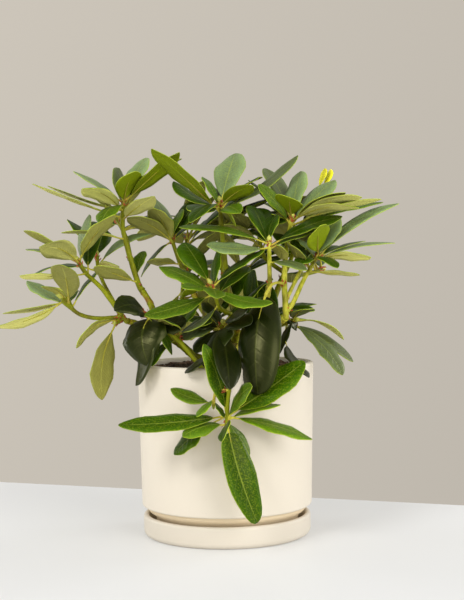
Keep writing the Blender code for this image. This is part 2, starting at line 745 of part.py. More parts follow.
def cut_clear(mesh, cutter_mesh):
    """A limb's foot, cut to lie just clear of a limb that carries it or grows beside it."""
    if not meshes_meet(mesh, cutter_mesh):
        return mesh
    limb = bpy.data.objects.new("limb_piece", mesh)
    cutter = bpy.data.objects.new("limb_cutter", cutter_mesh)
    bpy.context.scene.collection.objects.link(limb)
    bpy.context.scene.collection.objects.link(cutter)
    cut = limb.modifiers.new("cut", "BOOLEAN")
    cut.operation = "DIFFERENCE"
    cut.object = cutter
    cut.solver = "EXACT"
    bpy.context.view_layer.update()
    seen = limb.evaluated_get(bpy.context.evaluated_depsgraph_get())
    result = bpy.data.meshes.new_from_object(seen)
    bpy.data.objects.remove(limb)
    bpy.data.objects.remove(cutter)
    keep_largest(result)
    return result


def arc(centre_x, centre_z, radius, start, end, steps=CORNER_STEPS):
    """Points of a rounded corner, in degrees, both ends included."""
    points = []
    for i in range(steps + 1):
        angle = math.radians(start + (end - start) * i / steps)
        points.append((centre_x + radius * math.cos(angle), centre_z + radius * math.sin(angle)))
    return points


def turned(name, profile, closed=True):
    """A solid turned about the Z axis from a profile of (radius, height)."""
    bm = bmesh.new()
    verts = [bm.verts.new((r * MM, 0, z * MM)) for r, z in profile]
    edges = [bm.edges.new(pair) for pair in zip(verts, verts[1:])]
    if closed:
        edges.append(bm.edges.new((verts[-1], verts[0])))
    bmesh.ops.spin(bm, geom=verts + edges, cent=(0, 0, 0), axis=(0, 0, 1), angle=math.tau,
                   steps=TURN_STEPS, use_merge=True)
    bmesh.ops.remove_doubles(bm, verts=bm.verts[:], dist=0.00001)
    return finish_mesh(bm, name)


def pot_profile():
    """The pot: a body that narrows a little downwards, on a recessed foot, with a drain hole."""
    foot_bottom = SAUCER_FLOOR + GAP
    inner_top = POT_RADIUS_TOP - POT_WALL
    inner_bottom = POT_FOOT_RADIUS - POT_WALL
    profile = [(DRAIN_RADIUS, foot_bottom)]
    profile += arc(POT_FOOT_RADIUS - POT_FOOT_ROUND, foot_bottom + POT_FOOT_ROUND, POT_FOOT_ROUND, -90, 0)
    profile += [(POT_FOOT_RADIUS, POT_BODY_BOTTOM)]
    profile += arc(POT_RADIUS_BOTTOM - POT_LOWER_ROUND, POT_BODY_BOTTOM + POT_LOWER_ROUND,
                   POT_LOWER_ROUND, -90, 0)
    profile += arc(POT_RADIUS_TOP - RIM_ROUND, POT_HEIGHT - RIM_ROUND, RIM_ROUND, 0, 90)
    profile += arc(inner_top + RIM_ROUND, POT_HEIGHT - RIM_ROUND, RIM_ROUND, 90, 180)
    profile += [(POT_RADIUS_BOTTOM - POT_WALL, POT_BODY_BOTTOM + POT_WALL + POT_LOWER_ROUND),
                (inner_bottom, POT_BODY_BOTTOM + POT_WALL - POT_FOOT_ROUND),
                (inner_bottom, foot_bottom + POT_FLOOR),
                (DRAIN_RADIUS, foot_bottom + POT_FLOOR)]
    return profile


def saucer_profile():
    """The saucer: a shallow dish with rounded edges and a flat underside."""
    inner = SAUCER_RADIUS - SAUCER_WALL
    half = SAUCER_WALL / 2
    corner = SAUCER_INNER_ROUND
    profile = [(0, 0)]
    profile += arc(SAUCER_RADIUS - SAUCER_LOWER_ROUND, SAUCER_LOWER_ROUND, SAUCER_LOWER_ROUND, -90, 0)
    profile += arc(SAUCER_RADIUS - half, SAUCER_HEIGHT - half, half, 0, 180, 2 * CORNER_STEPS)
    profile += arc(inner - corner, SAUCER_FLOOR + corner, corner, 0, -90)
    return profile + [(0, SAUCER_FLOOR)]


def soil_profile():
    """The root ball: it fills the pot, clear of its wall, up to the level of the mix."""
    bottom = SAUCER_FLOOR + GAP + POT_FLOOR + GAP
    foot_edge = POT_FOOT_RADIUS - POT_WALL - GAP
    body_edge = POT_RADIUS_BOTTOM - POT_WALL - 2 * GAP
    slope = (POT_RADIUS_TOP - POT_RADIUS_BOTTOM) / (POT_HEIGHT - POT_BODY_BOTTOM)
    top_edge = body_edge + slope * (SOIL_LEVEL - POT_BODY_BOTTOM) - GAP
    return [(0, bottom), (foot_edge, bottom),
            (foot_edge, POT_BODY_BOTTOM + POT_WALL - POT_FOOT_ROUND + GAP),
            (body_edge, POT_BODY_BOTTOM + POT_WALL + POT_LOWER_ROUND + GAP),
            (top_edge, SOIL_LEVEL - SOIL_CHAMFER), (top_edge - SOIL_CHAMFER, SOIL_LEVEL), (0, SOIL_LEVEL)]


def material(name, colour, roughness):
    finish = bpy.data.materials.new(name)
    finish.use_nodes = True
    shader = finish.node_tree.nodes["Principled BSDF"]
    shader.inputs["Base Color"].default_value = (*colour, 1)
    shader.inputs["Roughness"].default_value = roughness
    shader.inputs["Metallic"].default_value = 0.0
    finish.diffuse_color = (*colour, 1)
    return finish


def add_object(name, mesh, finish, smooth=False):
    mesh.materials.clear()
    mesh.materials.append(finish)
    if smooth:
        mesh.shade_smooth()
        mesh.set_sharp_from_angle(angle=SMOOTH_BELOW)
    piece = bpy.data.objects.new(name, mesh)
    bpy.context.scene.collection.objects.link(piece)
    return piece


def mesh_to_room(room, name, mesh):
    """Notes a finished solid, in millimetres, as taken space."""
    bm = bmesh.new()
    bm.from_mesh(mesh)
    bmesh.ops.scale(bm, vec=(1 / MM, 1 / MM, 1 / MM), verts=bm.verts[:])
    room.add(name, bm)
    bm.free()


def build_planter(room):
    """Saucer, pot and the root ball in it."""
    cream = material("planter", (0.84, 0.76, 0.64), 0.55)
    earth = material("soil", (0.05, 0.035, 0.025), 0.95)
    for name, profile, finish in (("saucer", saucer_profile(), cream), ("pot", pot_profile(), cream),
                                  ("soil", soil_profile(), earth)):
        mesh = turned(name, profile, closed=name == "pot")
        mesh_to_room(room, name, mesh)
        add_object(name, mesh, finish, smooth=True)


def build_limbs(room):
    """The trunk and the boughs; each bough's foot is cut clear of the limb that carries it."""
    bark = material("stem", (0.24, 0.26, 0.06), 0.6)
    trunk_path = [TRUNK_FOOT] + smooth_path(TRUNK.path, LIMB_STEPS)
    trunk_radii = [ROOT_FLARE] + blend_radii(TRUNK.radii, len(trunk_path) - 1)
    layouts, placed = {}, []
    for limb in (TRUNK,) + BOUGHS:
        layout = smooth_path(limb.path, LIMB_STEPS)
        path = trunk_path if limb is TRUNK else [front(p) for p in layout]
        radii = trunk_radii if limb is TRUNK else blend_radii(limb.radii, len(path))
        mesh = limb_mesh(limb.name, path, radii)
        for taken in placed:
            mesh = cut_clear(mesh, taken)
        layouts[limb.name] = layout
        past_tip = path[-1] + (path[-1] - path[-2]).normalized() * GAP
        placed.append(limb_mesh(limb.name + "_clear", path + [past_tip], radii + radii[-1:], grow=GAP))
        mesh_to_room(room, limb.name, mesh)
        add_object(limb.name, mesh, bark, smooth=True)
    return layouts, placed


def twig_bmesh(stem, item):
    """A shoot's twig with its end bud, in millimetres."""
    path, radii = bud_path([front(p) for p in stem], item.radius, item.bud)
    bm = bmesh.new()
    loft(bm, ring_frames(path), [(r, r) for r in radii], TWIG_SIDES)
    bmesh.ops.recalc_face_normals(bm, faces=bm.faces[:])
    bmesh.ops.triangulate(bm, faces=bm.faces[:])
    return bm


def build_foliage(room, layouts, clear_meshes):
    """The masses: twigs first, then the placed leaves, then the whorls, each fused to one solid."""
    green = material("foliage", (0.09, 0.17, 0.04), 0.4)
    stems = {mass.name: shoot_paths(mass, layouts) for mass in MASSES}
    for mass in MASSES:
        for stem, item in zip(stems[mass.name], mass.shoots):
            bm = twig_bmesh(stem, item)
            room.add(mass.name, bm)
            bm.free()
    blades = {mass.name: grow_placed(mass, stems[mass.name], room) for mass in MASSES}
    for mass in MASSES:
        blades[mass.name] += grow_whorls(mass, stems[mass.name], room)
    for mass in MASSES:
        twigs = [to_metres(twig_bmesh(stem, item), mass.name)
                 for stem, item in zip(stems[mass.name], mass.shoots)]
        if mass.bough == "trunk":
            for taken in clear_meshes:
                twigs[0] = cut_clear(twigs[0], taken)
        leaves = [to_metres(leaf_bmesh(blade), mass.name) for blade in blades[mass.name]]
        add_object(mass.name, fuse(mass.name, twigs + leaves), green)


def main():
    for old in list(bpy.data.objects):
        bpy.data.objects.remove(old)
    room = Room()
    build_planter(room)
    layouts, clear_meshes = build_limbs(room)
    build_foliage(room, layouts, clear_meshes)


main()
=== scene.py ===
# Potted rhododendron: the finished look of every surface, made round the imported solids.
#
# Frame: metres, +Z up, -Y towards the viewer. Tables are in millimetres. A place on the plant is
# (across, away, height): where it shows, seen from the front, on the upright plane through the pot's
# axis, and how far behind that plane it lies.

import math
import random
from collections import namedtuple
from functools import partial

import bmesh
import bpy
from bpy.props import FloatProperty, FloatVectorProperty, IntProperty, PointerProperty
from mathutils import Matrix, Vector, noise
from mathutils.bvhtree import BVHTree


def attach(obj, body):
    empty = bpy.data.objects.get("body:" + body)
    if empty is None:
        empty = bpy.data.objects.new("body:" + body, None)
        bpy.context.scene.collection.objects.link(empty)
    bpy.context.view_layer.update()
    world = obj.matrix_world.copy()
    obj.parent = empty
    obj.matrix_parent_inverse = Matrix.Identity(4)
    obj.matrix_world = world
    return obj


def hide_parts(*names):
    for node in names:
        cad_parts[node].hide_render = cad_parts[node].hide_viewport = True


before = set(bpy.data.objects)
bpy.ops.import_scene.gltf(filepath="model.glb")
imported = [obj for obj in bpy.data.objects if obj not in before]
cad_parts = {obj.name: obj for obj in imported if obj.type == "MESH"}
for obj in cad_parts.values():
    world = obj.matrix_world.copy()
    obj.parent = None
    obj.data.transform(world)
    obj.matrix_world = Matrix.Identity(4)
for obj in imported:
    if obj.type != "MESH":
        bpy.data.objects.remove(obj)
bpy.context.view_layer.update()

bl_info = {
    "name": "Potted rhododendron",
    "version": (1, 0, 0),
    "blender": (4, 5, 0),
    "location": "3D View > Sidebar > Rhododendron",
    "description": "Makes a potted rhododendron in a ceramic planter, and the stage it stands on",
    "category": "Add Mesh",
}

MM = 0.001
UP = Vector((0, 0, 1))
BODY = "root"

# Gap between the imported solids
GAP = 0.3

# Planter, all round about an axis a little to the left of the trunk's foot
PLANTER_SHIFT = -1.2
POT_RADIUS_TOP = 91.2
POT_RADIUS_BOTTOM = 87.8
POT_HEIGHT = 177.0
POT_WALL = 7.5
POT_WALL_STEPS = 8
POT_BODY_BOTTOM = 30.5
POT_LOWER_ROUND = 2.5
POT_FOOT_RADIUS = 73.0
POT_FOOT_ROUND = 2.0
POT_SKIRT = ((POT_FOOT_RADIUS, 12.0), (74.0, 20.5), (79.5, 24.0), (82.8, 28.0), (84.0, POT_BODY_BOTTOM))
POT_FLOOR = 9.0
RIM_ROUND = 3.0
DRAIN_RADIUS = 7.0
SAUCER_RADIUS = 86.4
SAUCER_HEIGHT = 22.0
SAUCER_WALL = 6.0
SAUCER_FLOOR = 5.5
SAUCER_LOWER_ROUND = 6.0
SAUCER_INNER_ROUND = 3.0
# Painted shade: the saucer's glaze is the pot's cream made darker by this factor, as the saucer catches more
# light than the pot
SAUCER_PAINTED_SHADE = 0.88

# Soil, and the loose chips on it: the circle they fill, how far they stray from even angles, how deep and
# how fine their jags are, and, drawn between two values, their length as a share of the longest, their width
# as a share of the length, their thickness, their height above the soil and their turns
SOIL_LEVEL = 170.0
CHIP_SEED = 5
CHIP_FIELD = 75.0
CHIP_STRAY = 0.3
CHIP_JAG = 0.45
CHIP_GRAIN = 1.3
CHIP_SHORT = (0.35, 1.0)
CHIP_WIDE = (0.18, 0.34)
CHIP_THICK = (0.7, 1.5)
CHIP_RISE = (0.4, 2.6)
CHIP_TURNS = ((0, math.tau, "Z"), (-0.35, 0.35, "Y"), (-0.5, 0.5, "X"))
NOISE_FIELD = 50

# Front viewpoint in which the plant is laid out, and the small turn of that view about its middle
EYE = Vector((6.2, -1249.0, 267.0))
VIEW_MIDDLE = (6.2, 241.0)
VIEW_TURN = math.radians(0.7)
VIEW_LENS = 72.0
VIEW_SENSOR = 36.0
VIEW_SHIFT = (0.5 / 600, -25 / 600)

# Leaf solid of the clearance rule. Sections lie at a fraction of the length, with a share of the half width.
LEAF_BODY = 1.7
STALK_WIDTH = 2.0
TIP_WIDTH = 0.25
CORNER_REACH = math.sin(math.radians(60))
STALK_SHARE = 0.15
STALK_FLARE = 1.3
BLADE_SECTIONS = ((0.38, 0.90), (0.73, 0.88))
MIDLINE_STEP = 0.05
LEVEL_ENOUGH = 0.25

# Twigs: steps of their paths, how far they grow on straight from a bough and stay bare, the radius of their
# tips, the hub that leaves root on, and how the solid of a bud tapers
TWIG_STEPS = 2
STEM_STRAIGHT = 2.5
STEM_BARE = 5.0
TWIG_TIP_RADIUS = 1.9
TWIG_TAPER = 0.75
HUB_PAST = 3.0
HUB_LENGTH = 11.0
BUD_WAIST = 0.45
BUD_POINT = 0.3

# Leaves that a whorl grows by rule: how far down the shoot they root, the tones they are drawn from, how
# far back those of a shoot with placed leaves point at least, and, drawn between two values, their angles
# (degrees) and measures
GOLDEN_ANGLE = math.radians(137.5)
WHORL_LENGTH = 22.0
WHORL_TONES = ("deep", "deep", "deep")
BACKWARD = 0.35
WHORL_SPREAD = (48, 84)
WHORL_ROLL = (-28, 28)
WHORL_REACH = (66, 92)
WHORL_WIDTH = (22, 29)
WHORL_BOW = (5, 11)

# Clearance rule: the room round a leaf, and round its blade from where it starts, how far it may be swung
# in depth or turned round its twig before it is left out, and where it may not cover sky
CLEAR = 0.5
OWN_CLEAR = 0.2
OWN_START = 0.28
SWINGS = (0, -7, 7, -14, 14, -21, 21, -28, 28, -36, 36, -45, 45)
WHORL_TURNS = 14
WHORL_TURN = 0.35
SKY_SHARES = (0.55, 0.8, 1.0)

# Added to a mass's seed for its later leaves, the looks of its leaves, its twigs and its buds
MORE_SEED, LOOK_SEED, TWIG_SEED, BUD_SEED = 300, 500, 700, 900

# Sky that shows through the crown from the front: (left, right, bottom, top)
SKY = ((-100, -50, 232, 296), (-150, -112, 226, 258), (-250, -150, 345, 420), (-60, 220, 392, 440),
       (-215, -120, 150, 215), (98, 220, 150, 262), (-250, -96, 356, 440), (124, 220, 292, 318),
       (-132, -92, 60, 172), (96, 200, 60, 172), (-188, -127, 331, 349), (-180, -150, 318, 330),
       (-81, -50, 330, 368), (-134, -104, 280, 307), (96, 162, 241, 290), (103, 155, 300, 326),
       (70, 108, 241, 267))

# Light: each lamp's name, place, size (m) and power (W), where all of them point, the even fill, and how the
# wall's light rises to the left and upwards
LAMPS = (("front_panel", (2.3, -2.8, 1.35), 3.0, 94), ("key", (-1.55, -2.05, 2.0), 1.0, 44),
         ("low_panel", (-0.9, -1.6, 0.08), 1.2, 8), ("right_rim", (1.4, 0.7, 0.7), 0.8, 8),
         ("left_rim", (-1.4, 0.6, 0.5), 0.8, 6))
LAMP_TARGET = Vector((0, 0, 0.18))
FILL_LIGHT = 0.52
FILL_COLOUR = (1.0, 0.965, 0.91, 1)
WALL_SLOPE = (-0.25, 0, 0.14)

# Table (m): length, depth and thickness, its rounded edge, two points on its far edge, and its faint glow
TABLE_SIZE = (3.2, 2.2, 0.03)
TABLE_ROUND = 0.003
TABLE_EDGE = (Vector((-0.297, 0.323, 0)), Vector((0.272, 0.127, 0)))
TABLE_GLOW = 0.15
TABLE_GLOW_COLOUR = (1.0, 0.994, 0.975)

# Leaf as it shows: where its blade starts, its faces, the powers of its outline towards its base and its
# tip (for a usual and for a full or blunt one), and how it is folded, rolled, waved and twisted
BLADE_START = 0.13
LEAF_ROWS, LEAF_COLUMNS = 14, 6
SCALE_ROWS, SCALE_COLUMNS = 4, 2
OUTLINE_BASE, FULL_BASE = 0.92, 0.35
OUTLINE_TIP, BLUNT_TIP = 0.78, 0.42
FOLD = 0.24
ROLL = 0.30
WAVE = 0.07
FAR_WAVE = 1.9
TWIST_MIDDLE = 0.4
EDGE_WIDTH = 0.5
MIDRIB_STEP = 0.02
VEIN_PAIRS = 11

# Where the top, the underside, the rim and its ends lie in a leaf's cell of the second map
ATLAS_LOW = (0.53, 0.06, 0.475)
ATLAS_MARGIN = 0.02
ATLAS_LENGTH = 0.48
ATLAS_WIDTH = 0.195
ATLAS_RIM = 0.012
ATLAS_END = 0.49
ATLAS_END_RIM = 0.005

# How a leaf's look is drawn: what is added to its row's bluntness and bend, the bluntness of one without a
# row, and its twist, fold, roll and wave as shares of the usual, and how many waves it has
BLUNT_MORE = (-0.15, 0.25)
BLUNT_FREE = (0.1, 0.6)
SWAY_MORE = (-2.0, 2.0)
TWISTS = (-0.35, 0.35)
FOLDS = (0.5, 1.5)
ROLLS = (0.6, 1.3)
WAVES = (0.3, 1.6)
WAVE_COUNT = (1.6, 3.0)

# Bark of the limbs: the turns round the limb, the pitch and the share of its ridges and grain, its ring
# scars (pitch, sharpness, share), the lobes of the trunk's foot (number, depth, fade), and how far a bough's
# swollen root reaches
BARK_GRAINS = ((2, 7, 0.9), (5, 2, 0.5))
BARK_SCARS = (13, 160, 0.9)
FOOT_LOBES = (5, 0.12, 8)
ROOT_FADE = 5

# Twigs as they show: their bumps (turns, pitch, height), the ring at their foot and the swelling at their tip
# (height, fade), and how a bud fatter than a radius swells the last stretch (by how much, where, how long).
# Shoots thinner than SLIM_SHOOT look like leaf stalks, at a share of their radius.
TWIG_BUMPS = (1.5, 6, 0.28)
TWIG_RING = (0.7, 2.5)
TWIG_SWELL = (0.5, 5)
FAT_BUD = 4
PLUMP = (1.7, 4, 7)
SLIM_SHOOT = 2.0
SLIM_SHARE = 0.72

# Stalk of a leaf: the shares of the midrib that it follows, how far below it lies there, its least radius
# and what a leaf's width adds to it
STALK_SHARES = (0, 0.03, 0.06, 0.1, 0.14, 0.2, 0.3, 0.4, 0.5, 0.6)
STALK_DROP = 0.75
STALK_RADIUS = 0.85
STALK_WIDTHS = 80

# Buds: how many rows of scales wind up each, and how much of its rounded foot is left off
BUD_TURNS = 3.5
BUD_FOOT = 0.12

# How far a trunk, twig or bud starts inside what it grows from, and how far a limb runs on past its end
TRUNK_SUNK = 1.5
TWIG_SUNK = 2.0
BUD_SUNK = 1.5
LIMB_PAST = 1.2

# Rings of dry scales: how far back from the shoot's tip, how many, how long; the last is at its foot. Then
# how far a scale strays round its ring, where it sits on the twig's radius, how far it points along and
# away, how much of its length and which width it has, and its look
SCALE_RINGS = ((2.0, 6, 6.5), (6.0, 5, 7.5))
FOOT_RING = (3.0, 6, 5.0)
FOOT_RING_LEAST = 8.0
SCALE_STRAY = (-0.4, 0.4)
SCALE_SEAT = 0.7
SCALE_ALONG = (0.4, 1.0)
SCALE_AWAY = (0.25, 0.8)
SCALE_LENGTHS = (0.5, 1.0)
SCALE_WIDTHS = (1.4, 2.4)
SCALE_LOOK = {"thick": 0.25, "start": 0.0, "fold": 0.5, "wave": 0.2}

# Looks that a leaf may have on its top, each with its roughness, the contrast of its midrib and edge and
# its gloss, and those of its underside, in the order of the material slots; the looks where a row names
# neither, how much paler an underside's veins are, and the tint of all gloss
# The soft and grey tops are painted sheen: lighter, greyer copies of a top for leaves whose gloss shows a
# grey highlight
TOP_LOOKS = {"bright": (0.38, 0.55, 0.18), "lush": (0.34, 0.5, 0.18), "fresh": (0.36, 0.45, 0.18),
             "deep": (0.34, 0.30, 0.16), "dark": (0.33, 0.07, 0.33), "soft": (0.40, 0.50, 0.4),
             "grey": (0.42, 0.35, 0.4), "new": (0.5, 0.2, 0.2)}
TOPS = tuple(TOP_LOOKS)
UNDERS = ("olive", "lime", "dull", "pale")
USUAL_TOP, USUAL_UNDER = "deep", "olive"
UNDER_RIB = 1.45
SHEEN = (1.0, 0.97, 0.42)

# A leaf: its tone, its tip's reach from its node, its width, the width that shows (minus: underside), how
# far it bows, how far down the twig it roots, its bend to the side, how blunt its tip and how full its base
# is, where its blade starts, and how far it is domed instead of folded
Leaf = namedtuple("Leaf", "tone across up away width shown bow down sway blunt full start dome",
                  defaults=(4, 0, 0, 0.15, 0.0, BLADE_START, 0.0))
bright, lush, fresh, deep, dark, soft, grey, new, olive, lime, dull, pale = (
    partial(Leaf, tone) for tone in TOPS + UNDERS)
FREE_LEAF = deep(0, 0, 0, 1, 1)

# A shoot: its way to the hub, its placed leaves, how many more its whorl grows, where it forks off (which
# shoot and at what share of it, or a place), its radius, its bud's radius and length, and the leaves that
# only the finished plant has. A limb has a radius for each point of its path.
Shoot = namedtuple("Shoot", "path leaves whorl fork radius bud more",
                   defaults=((), 0, None, 2.6, (2.6, 8), ()))
Mass = namedtuple("Mass", "name bough seed shoots")
Limb = namedtuple("Limb", "name path radii")
Blade = namedtuple("Blade", "base tip normal arch width")
Look = namedtuple("Look", "blunt full sway start twist fold roll wave waves phase thick tint")

# Trunk and boughs, each a single tapering limb. The trunk's path is laid out in space.
TRUNK = Limb("trunk", ((0, 0, 173.5), (2, 0.5, 184), (5, 1.5, 195), (8, 3, 207)), (9.4, 7.6, 6.8, 6.0))
ROOT_FLARE = 12.0
FLARE_NECK = 1.08
BOUGHS = (
    Limb("bough_left", ((3, -2, 181), (-27, -12, 180), (-49, -20, 196), (-76, -26, 211), (-102, -30, 219)),
         (4.6, 4.2, 3.8, 3.4, 3.0)),
    Limb("bough_tall_left", ((-70, -24, 207), (-78, -16, 236), (-88, -11, 252)), (3.6, 3.3, 3.1)),
    Limb("bough_centre", ((8, 3, 202), (12, 2, 223), (3, 1, 250), (1, 0, 262)), (4.2, 3.8, 3.4, 3.2)),
    Limb("bough_front", ((8, 0, 198), (12, -20, 213), (10, -36, 222)), (3.6, 3.2, 2.8)),
    Limb("bough_right_front", ((7, 2, 196), (28, -6, 219), (41, -24, 240), (45, -34, 255)),
         (3.8, 3.4, 3.1, 2.9)),
    Limb("bough_right", ((5, 2, 188), (34, 0, 203), (61, -26, 222)), (4.6, 4.2, 3.8)),
    Limb("bough_low_right", ((5, 3, 184), (32, 18, 197), (52, 20, 212)), (3.6, 3.1, 2.7)),
    Limb("bough_over_rim", ((4, -3, 180), (9, -40, 181), (9.5, -72, 181)), (3.6, 3.2, 2.8)),
    Limb("bough_back_left", ((4, 2, 192), (-14, 16, 216), (-32, 28, 244), (-40, 33, 262)),
         (4.0, 3.7, 3.3, 3.0)),
    Limb("bough_back", ((6, 3, 197), (9, 32, 222), (4, 58, 246), (-2, 74, 264)), (4.0, 3.6, 3.3, 3.0)),
    Limb("bough_back_right", ((5, 3, 187), (32, 26, 214), (48, 44, 238), (57, 56, 260)),
         (4.0, 3.6, 3.3, 3.0)),
)

# Boughs with the palest bark, on the side that the light comes from
PALE_BOUGHS = ("bough_right_front", "bough_right", "bough_low_right")

